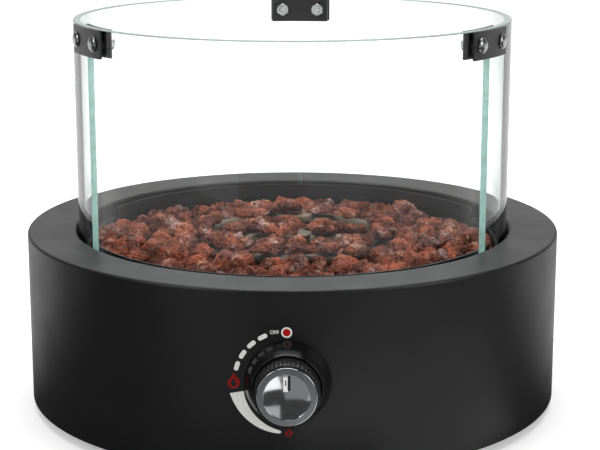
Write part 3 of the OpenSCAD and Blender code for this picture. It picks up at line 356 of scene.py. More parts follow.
def alumina_ceramic():
    # Alumina sleeve with a thin glaze: off-white, faintly speckled
    return finish("alumina_ceramic", (1.2, 2), (0.2, 0.35),
                  stops=((0.3, "#d9d4c8"), (0.6, "#efece4")), IOR=1.6)


def printed_enamel(name, base):
    # Screen-printed enamel: flat, a little thin in places
    return finish(name, (0.9, 2), (0.55, 0.65), stops=((0.25, times(0.82, base)), (0.6, base)),
                  IOR=1.5, Specular_IOR_Level=0.15)


def polished_glass_edge(name, tint, glow):
    # Ground and polished edge: light that has run through the pane comes out green, in
    # faint bands along the edge. Its emission, at the strength glow, is painted light: the
    # edge glows in its own tint
    material = finish(name, (7, 3), (0.2, 0.35), stops=((0.25, times(0.84, tint)), (0.7, tint)),
                      IOR=1.52, Coat_Weight=0.3, Coat_Roughness=0.08, Emission_Strength=glow)
    tree = material.node_tree
    shader = tree.nodes["Principled BSDF"]
    tree.links.new(shader.inputs["Base Color"].links[0].from_socket,
                   shader.inputs["Emission Color"])
    return material


def tempered_glass():
    # Tempered soda-lime glass: clear across its 6 mm, with a very slight roller wave.
    # The body bends light little, so that the ground ends show at their whole width
    # through the pane, and the coat has the real glass's gloss.
    # Seen along its wall it darkens: partly the long way through glass, partly painted
    # shade that stands in for the refraction and inner reflections the low IOR leaves out.
    material, tree, shader, place = new_material(
        "tempered_glass", Roughness=0.0, IOR=1.06, Transmission_Weight=1.0, Coat_Weight=0.4,
        Coat_IOR=1.5, Coat_Roughness=0.01)
    along = add_node(tree, "ShaderNodeLayerWeight", {"Blend": 0.5}).outputs["Facing"]
    roller = add_node(tree, "ShaderNodeTexNoise", sized(place, 40, 1))
    wave = add_node(tree, "ShaderNodeMapRange", [roller, NOISE_LOW, NOISE_HIGH, -0.03, 0.03])
    slant = add_node(tree, "ShaderNodeMath", [along, wave], operation="ADD")
    shade = add_node(tree, "ShaderNodeValToRGB", [slant], (
        (0.6, "#fcfefd"), (0.74, "#cdd2d0"), (0.86, "#c4c9c8"), (0.97, "#a9adad")))
    swell = add_node(tree, "ShaderNodeTexNoise", sized(place, 90, 1))
    bump = add_node(tree, "ShaderNodeBump", {"Height": swell, "Strength": 0.05,
                                             "Distance": 0.2 * MM})
    tree.links.new(shade.outputs[0], shader.inputs["Base Color"])
    tree.links.new(bump.outputs[0], shader.inputs["Normal"])
    return material


def scoria(settings):
    # Scoria: red-brown volcanic foam. Iron gives the red, the pores are darkened with painted
    # shade for their hollows, and the broken ridges are dusty and pale. Pores are 2 to 5 mm
    # wide, and stones differ in shade.
    material, tree, shader, place = new_material("scoria", IOR=1.5, Specular_IOR_Level=0.12,
                                                 Roughness=0.95)
    red, dark, pale = tuple(settings.red), tuple(settings.dark), tuple(settings.pale)
    warp = add_node(tree, "ShaderNodeTexNoise", sized(place, 6)).outputs["Color"]
    push = add_node(tree, "ShaderNodeVectorMath", {0: warp, 3: 2.2 * MM}, operation="SCALE")
    bent = add_node(tree, "ShaderNodeVectorMath", [place, push], operation="ADD").outputs[0]
    pores = add_node(tree, "ShaderNodeTexVoronoi", sized(bent, 4.6, 0))
    fine_pores = add_node(tree, "ShaderNodeTexVoronoi", sized(bent, 2.0, 0))
    patches, stones, iron = (add_node(tree, "ShaderNodeTexNoise", sized(place, size, detail))
                             for size, detail in ((14, 6), (20, 0), (31, 0)))
    stone = add_node(tree, "ShaderNodeValToRGB", [patches], (
        (0.3, times(0.5, red)), (0.45, red), (0.55, times(0.8, red)), (0.68, pale)))
    # Each layer multiplies the colour under it: light and dark stones, bluer and redder ones,
    # and the shade in the pores
    for pattern, weight, stops in (
            (stones, 1.0, ((0.34, (0.5, 0.45, 0.46)), (0.5, (0.95, 0.9, 0.9)),
                           (0.64, (1.45, 1.3, 1.2)))),
            (iron, 1.0, ((0.38, (0.9, 1.0, 1.18)), (0.6, (1.06, 0.95, 0.88)))),
            (fine_pores, 0.8, ((0.1, dark), (0.38, (1, 1, 1)))),
            (pores, 0.9, ((0.08, times(0.7, dark)), (0.34, (1, 1, 1))))):
        layer = add_node(tree, "ShaderNodeValToRGB", [pattern], stops)
        stone = add_node(tree, "ShaderNodeMix", {0: weight, 6: stone, 7: layer},
                         data_type="RGBA", blend_type="MULTIPLY").outputs[2]
    coarse = add_node(tree, "ShaderNodeBump", {"Height": pores, "Strength": 1.0,
                                               "Distance": 2.2 * MM})
    fine = add_node(tree, "ShaderNodeBump", {"Height": fine_pores, "Strength": 0.9,
                                             "Distance": 1.1 * MM, "Normal": coarse})
    tree.links.new(stone, shader.inputs["Base Color"])
    tree.links.new(fine.outputs[0], shader.inputs["Normal"])
    return material


# ---- Mesh helpers: sizes in millimetres ----

def in_mm(settings, *names):
    """These settings, which are kept in metres, in millimetres."""
    return (getattr(settings, name) / MM for name in names)


def rounded(corners, steps=6):
    """Section whose corners (x, y, radius) are rounded, with a point beside each arc."""
    section = []
    for i, (x, y, radius) in enumerate(corners):
        corner = Vector((x, y))
        if radius <= 0:
            section.append((x, y))
            continue
        before = Vector(corners[i - 1][:2]) - corner
        after = Vector(corners[(i + 1) % len(corners)][:2]) - corner
        room = min(before.length, after.length)
        before.normalize()
        after.normalize()
        half = before.angle(after) / 2
        reach = radius / math.tan(half)
        centre = corner + (before + after).normalized() * (radius / math.sin(half))
        start, end = corner + before * reach, corner + after * reach
        first = math.atan2(start.y - centre.y, start.x - centre.x)
        turn = math.atan2(end.y - centre.y, end.x - centre.x) - first
        turn = (turn + math.pi) % (2 * math.pi) - math.pi
        ease = min(0.4, max(0.02, (room - 2 * reach) / 4))
        section.append(tuple(start + before * ease))
        for k in range(steps + 1):
            around = first + turn * k / steps
            section.append((centre.x + radius * math.cos(around),
                            centre.y + radius * math.sin(around)))
        section.append(tuple(end + after * ease))
    return section


class Shape:
    """Collects vertices and faces in millimetres, with a material index for each face."""

    def __init__(self):
        self.points = []
        self.faces = []
        self.marks = []

    def add(self, points, faces, place=Matrix.Identity(4), mark=0):
        first = len(self.points)
        self.points += [place @ Vector(p) for p in points]
        self.faces += [tuple(first + k for k in face) for face in faces]
        self.marks += [mark] * len(faces)

    def turned(self, section, steps, place=Matrix.Identity(4), start=0, sweep=360, form=None):
        """Turns a closed section of (radius, height), which runs anticlockwise, round Z.
        form gives the largest radius at an angle and a height, as on a nut or a fluted grip."""
        whole = sweep == 360
        columns = steps if whole else steps + 1
        count = len(section)
        points = []
        for j in range(columns):
            around = math.radians(start + sweep * j / steps)
            for r, z in section:
                limited = min(r, form(around, z)) if form else r
                points.append((limited * math.cos(around), limited * math.sin(around), z))
        faces = []
        for j in range(steps):
            a, b = j * count, ((j + 1) % columns) * count
            for i in range(count):
                k = (i + 1) % count
                faces.append((a + i, b + i, b + k, a + k))
        if not whole:
            faces.append(tuple(range(count)))
            faces.append(tuple(reversed(range(steps * count, (steps + 1) * count))))
        self.add(points, faces, place)

    def mesh(self, name, materials, sharp=32):
        """The shape as a mesh in metres. Edges over `sharp` degrees are shaded sharp."""
        mesh = bpy.data.meshes.new(name)
        mesh.from_pydata([tuple(p * MM) for p in self.points], [], self.faces)
        for material in materials:
            mesh.materials.append(material)
        mesh.polygons.foreach_set("material_index", self.marks)
        build = bmesh.new()
        build.from_mesh(mesh)
        bmesh.ops.remove_doubles(build, verts=build.verts, dist=0.002 * MM)
        bmesh.ops.dissolve_degenerate(build, edges=build.edges, dist=1e-7)
        build.to_mesh(mesh)
        build.free()
        mesh.shade_smooth()
        mesh.set_sharp_from_angle(angle=math.radians(sharp))
        return mesh

    def piece(self, name, materials, body, slot, replaces, sharp=32):
        """Places the shape as a finished piece."""
        return place_piece(name, self.mesh(name, materials, sharp), body, replaces)


def place_piece(name, mesh, body, replaces=()):
    """Makes an object of a finished mesh, on a body, in place of the nodes it replaces."""
    piece = bpy.data.objects.new(name, mesh)
    bpy.context.scene.collection.objects.link(piece)
    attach(piece, body)
    if replaces:
        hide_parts(*replaces)
    return piece


def facing_front(distance, height):
    """Local +Z points out of the drum's front, and local +Y up."""
    return Matrix(((1, 0, 0, 0), (0, 0, -1, -distance), (0, 1, 0, height), (0, 0, 0, 1)))


def hexagon(flats):
    """Limit of a turned section that gives it six flats, for Shape.turned."""
    sixth = math.pi / 3
    return lambda around, z: flats / 2 / math.cos((around + sixth / 2) % sixth - sixth / 2)


def polar_pattern():
    """A tree that repeats a part round Z in groups, and joins the copies into one mesh."""
    if "polar_pattern" in bpy.data.node_groups:
        return bpy.data.node_groups["polar_pattern"]
    tree = bpy.data.node_groups.new("polar_pattern", "GeometryNodeTree")
    tree.interface.new_socket("Geometry", in_out="OUTPUT", socket_type="NodeSocketGeometry")
    for name, kind in (("Geometry", "Geometry"), ("Part", "Object"), ("Groups", "Int"),
                       ("Copies", "Int"), ("First angle", "Float"), ("Group step", "Float"),
                       ("Copy step", "Float"), ("Material", "Material")):
        tree.interface.new_socket(name, in_out="INPUT", socket_type="NodeSocket" + kind)
    given = tree.nodes.new("NodeGroupInput").outputs
    copies = given["Copies"]
    # Copy k of group g, for point i: g = floor((i + 0.5) / copies) and k = i - g * copies
    index = add_node(tree, "GeometryNodeInputIndex")
    total = add_node(tree, "ShaderNodeMath", [given["Groups"], copies], operation="MULTIPLY")
    middle = add_node(tree, "ShaderNodeMath", [index, 0.5], operation="ADD")
    share = add_node(tree, "ShaderNodeMath", [middle, copies], operation="DIVIDE")
    group = add_node(tree, "ShaderNodeMath", [share], operation="FLOOR")
    before = add_node(tree, "ShaderNodeMath", [group, copies], operation="MULTIPLY")
    copy = add_node(tree, "ShaderNodeMath", [index, before], operation="SUBTRACT")
    group_turn = add_node(tree, "ShaderNodeMath", [group, given["Group step"]],
                          operation="MULTIPLY")
    copy_turn = add_node(tree, "ShaderNodeMath", [copy, given["Copy step"]],
                         operation="MULTIPLY")
    both = add_node(tree, "ShaderNodeMath", [group_turn, copy_turn], operation="ADD")
    turn = add_node(tree, "ShaderNodeMath", [given["First angle"], both], operation="ADD")
    line = add_node(tree, "GeometryNodeMeshLine", {"Count": total, "Offset": (0, 0, 0)})
    part = add_node(tree, "GeometryNodeObjectInfo", {"Object": given["Part"]},
                    transform_space="ORIGINAL")
    spread = add_node(tree, "GeometryNodeInstanceOnPoints", {
        "Points": line, "Instance": part.outputs["Geometry"],
        "Rotation": add_node(tree, "ShaderNodeCombineXYZ", {"Z": turn})})
    real = add_node(tree, "GeometryNodeRealizeInstances", {"Geometry": spread})
    painted = add_node(tree, "GeometryNodeSetMaterial", {"Geometry": real,
                                                         "Material": given["Material"]})
    add_node(tree, "NodeGroupOutput", {"Geometry": painted})
    return tree


def repeated(name, part_mesh, material, groups, copies, first, group_step, copy_step):
    """Runs the pattern on a part that stands at the front, and returns one plain mesh.
    Angles are in degrees, from the front towards +X."""
    tree = polar_pattern()
    link = bpy.context.scene.collection.objects.link
    part = bpy.data.objects.new(name + "_part", part_mesh)
    carrier = bpy.data.objects.new(name + "_carrier", bpy.data.meshes.new(name + "_carrier"))
    link(part)
    link(carrier)
    modifier = carrier.modifiers.new("pattern", "NODES")
    modifier.node_group = tree
    values = {"Part": part, "Groups": groups, "Copies": copies, "Material": material,
              "First angle": math.radians(first), "Group step": math.radians(group_step),
              "Copy step": math.radians(copy_step)}
    for socket in tree.interface.items_tree:
        if socket.in_out == "INPUT" and socket.name in values:
            modifier[socket.identifier] = values[socket.name]
    depsgraph = bpy.context.evaluated_depsgraph_get()
    mesh = bpy.data.meshes.new_from_object(carrier.evaluated_get(depsgraph))
    if len(mesh.polygons) != groups * copies * len(part_mesh.polygons):
        raise RuntimeError(f"the pattern of {name} is not whole")
    mesh.name = name
    for helper in (carrier, part):
        bpy.data.objects.remove(helper)
    return mesh


def dress(material, *nodes):
    """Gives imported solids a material, and leaves their shape alone."""
    for node in nodes:
        slots = NODES[node].data.materials
        if not len(slots):
            slots.append(material)
        for i in range(len(slots)):
            slots[i] = material


# ---- Pieces ----

class FIREPIT_OT_drum(bpy.types.Operator):
    """Builds the powder-coated drum with its rounded edge and turned-down lip"""
    bl_idname = "firepit.drum"
    bl_label = "Drum"

    def execute(self, context):
        sizes = context.scene.firepit_drum
        coat = powder_coat("satin_powder_coat", tuple(sizes.coat))
        hole, lip, sheet, edge = in_mm(sizes, "hole_radius", "lip_depth", "sheet", "top_edge")
        low, top = DRUM_LOW.z, DRUM_HIGH.z
        bend, cut = sheet + 1, 0.3  # radii of the turned-down lip and of the sheet's cut edges
        section = rounded([
            (DRUM_R, low, cut), (DRUM_R, top, edge), (hole, top, bend),
            (hole, top - lip, cut), (hole + sheet, top - lip, cut),
            (hole + sheet, top - sheet, bend - sheet), (DRUM_R - sheet, top - sheet, edge - sheet),
            (DRUM_R - sheet, low, cut)])
        shell = Shape()
        shell.turned(section, 288)
        shell.piece("drum_shell", [coat], HOUSING, "powder_coat", ["body_shell"])
        dress(powder_coat("matte_powder_coat", linear("#1c1c1d"), 0.55), "base_plate")
        return {"FINISHED"}


class FIREPIT_OT_bowl(bpy.types.Operator):
    """Finishes the fire bowl, the ring that holds the glass, and their fasteners"""
    bl_idname = "firepit.bowl"
    bl_label = "Fire bowl"

    def execute(self, context):
        dress(heat_resistant_paint(), "fire_bowl")
        dress(powder_coat("retainer_coat", linear("#202123"), 0.45), "glass_retainer")
        dress(zinc_plated_steel(), "bowl_hangers", "bowl_screws", "bowl_nuts", "side_nuts",
              "foot_screws", "foot_nuts", "leg_screws", "tube_nut", "heat_shield",
              "shield_spacers", "shield_screws", "valve_bracket", "bracket_screws",
              "bracket_nuts", "valve_screws", "inlet_nut", "valve_stem", "valve_plug")
        dress(powder_coat("blackened_screw", linear("#191919"), 0.35), "side_screws")
        return {"FINISHED"}


def islands(mesh):
    """The separate solids of a mesh, each as its points and faces."""
    build = bmesh.new()
    build.from_mesh(mesh)
    bmesh.ops.remove_doubles(build, verts=build.verts, dist=1e-6)
    build.verts.index_update()
    seen = set()
    found = []
    for vertex in build.verts:
        if vertex.index in seen:
            continue
        group, queue = [], [vertex]
        seen.add(vertex.index)
        while queue:
            current = queue.pop()
            group.append(current)
            for edge in current.link_edges:
                other = edge.other_vert(current)
                if other.index not in seen:
                    seen.add(other.index)
                    queue.append(other)
        number = {v.index: k for k, v in enumerate(group)}
        faces = {f for v in group for f in v.link_faces}
        found.append(([v.co / MM for v in group],
                      [tuple(number[v.index] for v in f.verts)
                       for f in sorted(faces, key=lambda f: f.index)]))
    build.free()
    return found


def subdivided(points, faces, levels):
    """A rounder copy of a solid, by subdivision."""
    mesh = bpy.data.meshes.new("rock_form")
    mesh.from_pydata([tuple(p) for p in points], [], faces)
    form = bpy.data.objects.new("rock_form", mesh)
    bpy.context.scene.collection.objects.link(form)
    modifier = form.modifiers.new("round", "SUBSURF")
    modifier.levels = modifier.render_levels = levels
    depsgraph = bpy.context.evaluated_depsgraph_get()
    smooth = bpy.data.meshes.new_from_object(form.evaluated_get(depsgraph))
    result = ([v.co.copy() for v in smooth.vertices], [tuple(p.vertices) for p in smooth.polygons])
    bpy.data.objects.remove(form)
    bpy.data.meshes.remove(mesh)
    bpy.data.meshes.remove(smooth)
    return result


# Heights and radii in the rock bed. Stones that lie above SEEN_FROM get all their detail, and
# none passes WALL. They cover the burner and are heaped up outside HEAP_FROM.
SEEN_FROM = CHANNEL_Z - 30
WALL = BOWL_R - 1.5
BURNER_R, BURNER_COVER = 85, 20
HEAP_FROM, HEAP_WIDTH, HEAP_RISE = 115, 35, 6
INNER_BED, OUTER_BED = 110, 148
LUMP_SIZE, PORE_SIZE = 11, 5.2
NUDGE, NUDGE_DOWN, NUDGE_UP = 5, 1.5, 2.5


def weathered(point, centre, seed, lump, pit):
    """A rock's point, pushed in and out by lumps, ridges and pores."""
    away = (point - centre).normalized()
    sample = point / LUMP_SIZE + Vector((seed * 7.3, seed * 3.1, seed * 1.7))
    swell = noise.fractal(sample, 0.75, 2.0, 4)
    ridge = noise.ridged_multi_fractal(sample * 2.2, 0.9, 2.1, 3, 1.0, 2.0) - 1
    near = noise.voronoi(point / PORE_SIZE + Vector((seed, 0, 0)))[0][0]
    hollow = max(0, 0.5 - near) / 0.5
    return point + away * (lump * swell + 0.45 * lump * ridge - pit * hollow)


def tumbled(points, centre, seed, tumble):
    """A rock turned, grown and nudged, so that the rows of the bed don't show. Rocks are
    larger over the burner, and larger and higher at the wall."""
    chance = random.Random(seed)
    turn = Matrix.Rotation(chance.uniform(-tumble, tumble), 3, "Z")
    for axis in "XY":
        turn = turn @ Matrix.Rotation(chance.uniform(-0.6, 0.6) * tumble, 3, axis)
    grow = chance.uniform(0.9, 1.2)
    out = centre.xy.length
    if abs(out - BURNER_R) < BURNER_COVER:
        grow += 0.12
    heap = min(1, max(0, (out - HEAP_FROM) / HEAP_WIDTH))
    grow += 0.1 * heap
    nudge = Vector((chance.uniform(-NUDGE, NUDGE), chance.uniform(-NUDGE, NUDGE),
                    chance.uniform(-NUDGE_DOWN, NUDGE_UP) + HEAP_RISE * heap))
    return [centre + nudge + turn @ (p - centre) * grow for p in points]


class FIREPIT_OT_rocks(bpy.types.Operator):
    """Carves every lava rock of the bed from its plain solid"""
    bl_idname = "firepit.rocks"
    bl_label = "Lava rocks"

    def execute(self, context):
        settings = context.scene.firepit_rocks
        stone = scoria(settings)
        lump, pit = in_mm(settings, "lump", "pit")
        beds = {}
        for number, (points, faces) in enumerate(islands(NODES["lava_rocks"].data)):
            centre = sum(points, Vector()) / len(points)
            if min(p.z for p in points) > SEEN_FROM:
                start, levels = tumbled(points, centre, number, settings.tumble), 3
                out = centre.xy.length
                side = "left" if centre.x < 0 else "right"
                bed = "inner" if out < INNER_BED else "outer" if out < OUTER_BED else "rim_" + side
            else:
                start, levels, bed = [centre + (p - centre) * 1.1 for p in points], 1, "lower"
            smooth, quads = subdivided(start, faces, levels)
            carved = [weathered(p, centre, number % 41, lump, pit) for p in smooth]
            for p in carved:
                if p.xy.length > WALL:
                    p.xy = p.xy * (WALL / p.xy.length)
            beds.setdefault(bed, Shape()).add(carved, quads)
        for bed, shape in beds.items():
            shape.piece(f"lava_rocks_{bed}", [stone], HOUSING, "lava_rock", ["lava_rocks"],
                        sharp=60)
        return {"FINISHED"}


class FIREPIT_OT_burner(bpy.types.Operator):
    """Finishes the ring burner, its pilot and the gas line"""
    bl_idname = "firepit.burner"
    bl_label = "Burner and gas line"

    def execute(self, context):
        dress(heat_tinted_stainless(), "burner_ring", "burner_legs", "mixing_tube", "pilot_bracket")
        dress(machined_brass(), "injector_holder", "gas_jet", "pipe_nuts")
        dress(die_cast_alloy(), "gas_valve")
        dress(drawn_aluminium(), "burner_pipe", "inlet_pipe")
        dress(browned_copper(), "thermocouple")
        dress(alumina_ceramic(), "electrode")
        dress(moulded_rubber("silicone_lead", linear("#1a1a1b")), "ignition_wire")
        dress(moulded_rubber("nitrile_washer", linear("#151516")), "inlet_washer")
        dress(textured_nylon("ivory_nylon", linear("#d8d4c9")), "piezo_igniter")
        dress(moulded_rubber("foot_rubber", linear("#171718")), "feet")
        return {"FINISHED"}


class FIREPIT_OT_inlet(bpy.types.Operator):
    """Turns the gas inlet: its hexagon, its threaded end and its flare"""
    bl_idname = "firepit.inlet"
    bl_label = "Gas inlet"

    def execute(self, context):
        sizes = context.scene.firepit_inlet
        low, high = box_mm("gas_inlet")
        thread, bore, pitch, flats = in_mm(sizes, "thread_diameter", "bore", "thread_pitch",
                                           "hexagon")
        thread, bore = thread / 2, bore / 2
        # Heights from the drum's wall outwards, and radii
        inside, hex_low, hex_high, neck, tip = -26, 1.2, 9.2, 11.7, high.y - DRUM_R
        shoulder = tip - 6
        shank, corner = 7.0, flats * 0.6
        relief, root, nose = thread - 1.4, thread - 0.85, thread - 1
        outline = [(bore, inside), (shank, inside), (shank, hex_low), (flats / 2, hex_low),
                   (corner, hex_low + 0.7), (corner, hex_high - 0.7), (flats / 2, hex_high),
                   (relief, hex_high), (relief, neck)]
        for k in range(int((shoulder - neck) / pitch)):
            z = neck + pitch * k
            outline += [(root, z + 0.02), (thread, z + 0.42 * pitch),
                        (thread, z + 0.58 * pitch), (root, z + 0.98 * pitch)]
        outline += [(nose, shoulder), (nose, shoulder + 0.6), (bore + 1.4, tip), (bore, tip)]
        back = Matrix(((-1, 0, 0, 0), (0, 0, 1, DRUM_R), (0, 1, 0, (low.z + high.z) / 2),
                       (0, 0, 0, 1)))
        limit = hexagon(flats)
        unlimited = 99
        inlet = Shape()
        inlet.turned(outline, 72, back, form=lambda around, z: limit(around, z)
                     if hex_low <= z <= hex_high else unlimited)
        inlet.piece("gas_inlet_turned", [machined_brass()], HOUSING, "gas_brass", ["gas_inlet"],
                    sharp=25)
        return {"FINISHED"}


class FIREPIT_OT_guard(bpy.types.Operator):
    """Builds the three curved panels of tempered glass with polished edges"""
    bl_idname = "firepit.guard"
    bl_label = "Glass guard"

    def execute(self, context):
        sizes = context.scene.firepit_guard
        outer, thickness, edge, seam = in_mm(sizes, "outer_radius", "thickness", "chamfer", "seam")
        inner = outer - thickness
        span = 120 - 2 * math.degrees(math.asin(seam / 2 / ((outer + inner) / 2)))
        # The ends and the top rim glow with painted light in their tints
        coats = [tempered_glass(),
                 polished_glass_edge("polished_end_painted_glow", tuple(sizes.edge_tint), 0.38),
                 polished_glass_edge("polished_rim_painted_glow", tuple(sizes.rim_tint), 0.1),
                 # The lower edge's tint is painted shade
                 polished_glass_edge("ground_foot_painted_shade", tuple(sizes.foot_painted_shade), 0.0)]
        pane, end, rim, foot = range(4)
        section = [(outer, CHANNEL_Z + edge), (outer, GLASS_TOP - edge), (outer - edge, GLASS_TOP),
                   (inner + edge, GLASS_TOP), (inner, GLASS_TOP - edge), (inner, CHANNEL_Z + edge),
                   (inner + edge, CHANNEL_Z), (outer - edge, CHANNEL_Z)]
        sides = (pane, rim, rim, rim, pane, foot, foot, foot)
        for name, middle in (("glass_front", 0), ("glass_right", 120), ("glass_left", 240)):
            shape = Shape()
            shape.turned(section, 96, sweep=span,
                         start=math.degrees(sizes.turn) + middle - 90 - span / 2)
            shape.marks = [sides[k % 8] for k in range(len(shape.faces) - 2)] + [end, end]
            shape.piece(name + "_pane", coats, "guard", "guard_glass", [name], sharp=20)
        return {"FINISHED"}


class FIREPIT_OT_clamps(bpy.types.Operator):
    """Coats the plates and pads of the clamps that join the panels, and builds their domed bolts
    and nuts
    """
    bl_idname = "firepit.clamps"
    bl_label = "Clamps"

    def execute(self, context):
        sizes = context.scene.firepit_clamps
        guard = context.scene.firepit_guard
        dress(powder_coat("clamp_coat", tuple(sizes.coat), 0.4), "clamp_outer_plates",
              "clamp_inner_plates")
        dress(moulded_rubber("pad_rubber", linear("#121213")), "clamp_pads")
        steel = polished_stainless()
        head, height, shank, pitch, flats, deep = in_mm(
            sizes, "head_diameter", "head_height", "shank", "bolt_pitch", "nut_flats",
            "nut_height")
        radius, shank = head / 2, shank / 2
        middle = (guard.outer_radius - guard.thickness / 2) / MM
        step = 2 * math.degrees(math.asin(pitch / 2 / middle))
        clamps, bolts_each = 3, 2
        places = (clamps, bolts_each, math.degrees(guard.turn) + 60 - step / 2, 120, step)

        # Both sections have heights that are distances from the guard's axis
        tip, tail, under = BOLT_TIP, BOLT_TAIL, BOLT_TIP - height
        dome = [(0, tail), (shank - 0.5, tail), (shank, tail + 0.6), (shank, under),
                (radius - 0.3, under), (radius, under + 0.4), (radius - 0.35, under + 1.0),
                (radius * 0.86, tip - 1.25), (radius * 0.66, tip - 0.6),
                (radius * 0.4, tip - 0.18), (radius * 0.2, tip - 0.04), (0, tip)]
        seat, hole, corner = NUT_SEAT, shank + 0.1, flats * 0.6
        ring = [(hole, seat - deep), (flats / 2, seat - deep), (corner, seat - deep + 0.7),
                (corner, seat - 0.4), (flats / 2, seat), (hole, seat)]
        for name, part_name, section, steps, form, sharp, node in (
                ("clamp_bolts_domed", "clamp_bolt", dome, 48, None, 40, "clamp_bolts"),
                ("clamp_nuts_hex", "clamp_nut", ring, 72, hexagon(flats), 25, "clamp_nuts")):
            part = Shape()
            part.turned(section, steps, facing_front(0, BOLT_Z), form=form)
            whole = repeated(name, part.mesh(part_name, [steel], sharp), steel, *places)
            place_piece(name, whole, "guard", [node])
        return {"FINISHED"}


# ---- Knob ----

def on_drum(point):
    """Lowers a point (x, y) of the knob's plane onto the drum, as its height off that plane."""
    return math.sqrt(DRUM_R ** 2 - point[0] ** 2) - DRUM_R


def bezel_shape(foot, mouth, top):
    """The bezel: a stepped cone whose foot follows the drum, open towards the grip."""
    hub, floor, base, follows = 9, 2.4, 0.3, 6
    outline = rounded([(mouth, floor, 0), (hub, floor, 0), (hub, base, 0), (foot, base, 0),
                       (foot, 1.2, 0.5), (mouth + 3.9, 12, 1.2), (mouth, top, 0.5)], 5)
    place = facing_front(DRUM_R, KNOB_Z)
    bezel = Shape()
    bezel.turned(outline, 144)
    bezel.points = [place @ (p + Vector((0, 0, on_drum(p) * max(0, 1 - max(p.z, 0) / follows))))
                    for p in bezel.points]
    return bezel


def grip_shape(radius, back, front, face_radius, count):
    """The grip: a ring of flutes that run out at a plain collar, with a seat for the face."""
    collar, run_out = 4.5, 1.5
    flute, cutter, uncut = 1.4, radius + 0.7, radius + 1
    pitch = 2 * math.pi / count

    def fluted(around, z):
        off = (around + pitch / 2) % pitch - pitch / 2
        side = cutter * math.sin(off)
        depth = cutter * math.cos(off) - math.sqrt(max(0, flute ** 2 - side ** 2))
        fade = min(1, max(0, (z - back - collar) / run_out))
        groove = depth if abs(side) < flute else uncut
        return uncut if fade == 0 else min(uncut, groove + (1 - fade) * 0.8)

    grip = Shape()
    grip.turned(rounded([(8, back, 0), (radius, back, 0.5), (radius, back + collar, 0),
                         (radius, back + collar + run_out, 0), (radius, front - 1.6, 0),
                         (face_radius + 0.9, front, 0.5), (face_radius - 1, front, 0),
                         (face_radius - 1, front - 3, 0), (8, front - 3, 0)], 3),
                count * 8, facing_front(DRUM_R, KNOB_Z), form=fluted)
    return grip


def face_shape(radius, ring, dish, front, width):
    """The face: a dished plate with a flat ring, and a raised pointer of a pale and a dark bar.
    The pale bar's white is partly a painted highlight of the pointer's lit face, and the dark
    bar is painted shade on its shaded side.
    Materials are 0 the plate, 1 the pale bar, 2 the dark bar and the slot, 3 the flat ring."""
    place = facing_front(DRUM_R, KNOB_Z)
    rim, ball, edge = front + FACE_THICK, 62.0, ring - 0.5
    drop = math.sqrt(ball ** 2 - edge ** 2)
    bowl = [(r, rim - dish - (math.sqrt(ball ** 2 - r ** 2) - drop))
            for r in (0, 2, 4, 6, 8, 10, 12, 14, 16, 17.2, edge)]
    outside = rounded([(ring - 0.35, rim - dish * 0.6, 0), (ring, rim, 0.25),
                       (radius - 0.1, rim, 0.7), (radius, front - 0.4, 0)], 5)
    under = [(radius - 0.5, front - 2.6), (0, front - 2.6)]
    section = list(reversed(bowl + outside + under))
    face = Shape()
    face.turned(section, 160, place)
    top = [z > rim - 0.001 for r, z in section]
    flat = {k for k in range(len(section) - 1) if top[k] and top[k + 1]}
    face.marks = [3 if k % len(section) in flat else 0 for k in range(len(face.faces))]

    half, start, end = width / 2, 4.6, ring - 2.2
    tall, low, bevel = rim - 0.1, front - 1.6, 0.3
    # The pale bar is partly a painted highlight, the dark bar beside it painted shade
    for left, right, bottom, upper, height, mark in (
            (-half, 0.5, start, end, tall, 1),
            (0.7, half, start + 0.8, end, tall - 0.5, 2),
            (-half * 0.62, -half * 0.1, end - 7.2, end - 2.2, tall + 0.05, 2)):
        points = []
        for inset, z in ((0, low), (0, height - bevel), (bevel, height)):
            points += [(left + inset, bottom + inset, z), (right - inset, bottom + inset, z),
                       (right - inset, upper - inset, z), (left + inset, upper - inset, z)]
        sides = [(4 * k + i, 4 * k + (i + 1) % 4, 4 * k + 4 + (i + 1) % 4, 4 * k + 4 + i)
                 for k in (0, 1) for i in range(4)]
        face.add(points, sides + [(8, 9, 10, 11), (3, 2, 1, 0)], place, mark)
    return face


class FIREPIT_OT_knob(bpy.types.Operator):
    """Builds the control knob: gloss bezel, fluted grip and chrome face"""
    bl_idname = "firepit.knob"
    bl_label = "Knob"

    def execute(self, context):
        sizes = context.scene.firepit_knob
        bezel = bezel_shape(*in_mm(sizes, "bezel_radius", "mouth_radius", "bezel_height"))
        bezel.piece("bezel_moulding", [gloss_abs()], HOUSING, "bezel_gloss", ["knob_bezel"],
                    sharp=35)

        front = KNOB_REACH - FACE_THICK
        grip_r, back, face_r, ring, dish, pointer = in_mm(
            sizes, "grip_radius", "grip_back", "face_radius", "face_ring", "dish_depth",
            "pointer")
        grip = grip_shape(grip_r, back, front, face_r, sizes.flutes)
        grip.piece("grip_fluted", [textured_nylon("black_nylon", linear("#121213"))], "knob",
                   "grip_plastic", ["knob_grip"], sharp=50)

        face = face_shape(face_r, face_r - ring, dish, front, pointer)
        lacquer = (0.2, 0.3)
        # The pale bar's white is partly a painted highlight, and the dark bar is painted shade
        face.piece("face_chrome", [
            chrome_plate(), textured_nylon("pointer_lacquer_and_highlight", linear("#ececea"), lacquer),
            textured_nylon("pointer_painted_shade_and_slot", linear("#1a1a1b"), lacquer), satin_chrome()],
            "knob", "knob_chrome", ["knob_face"], sharp=28)
        return {"FINISHED"}


# ---- Printed dial ----

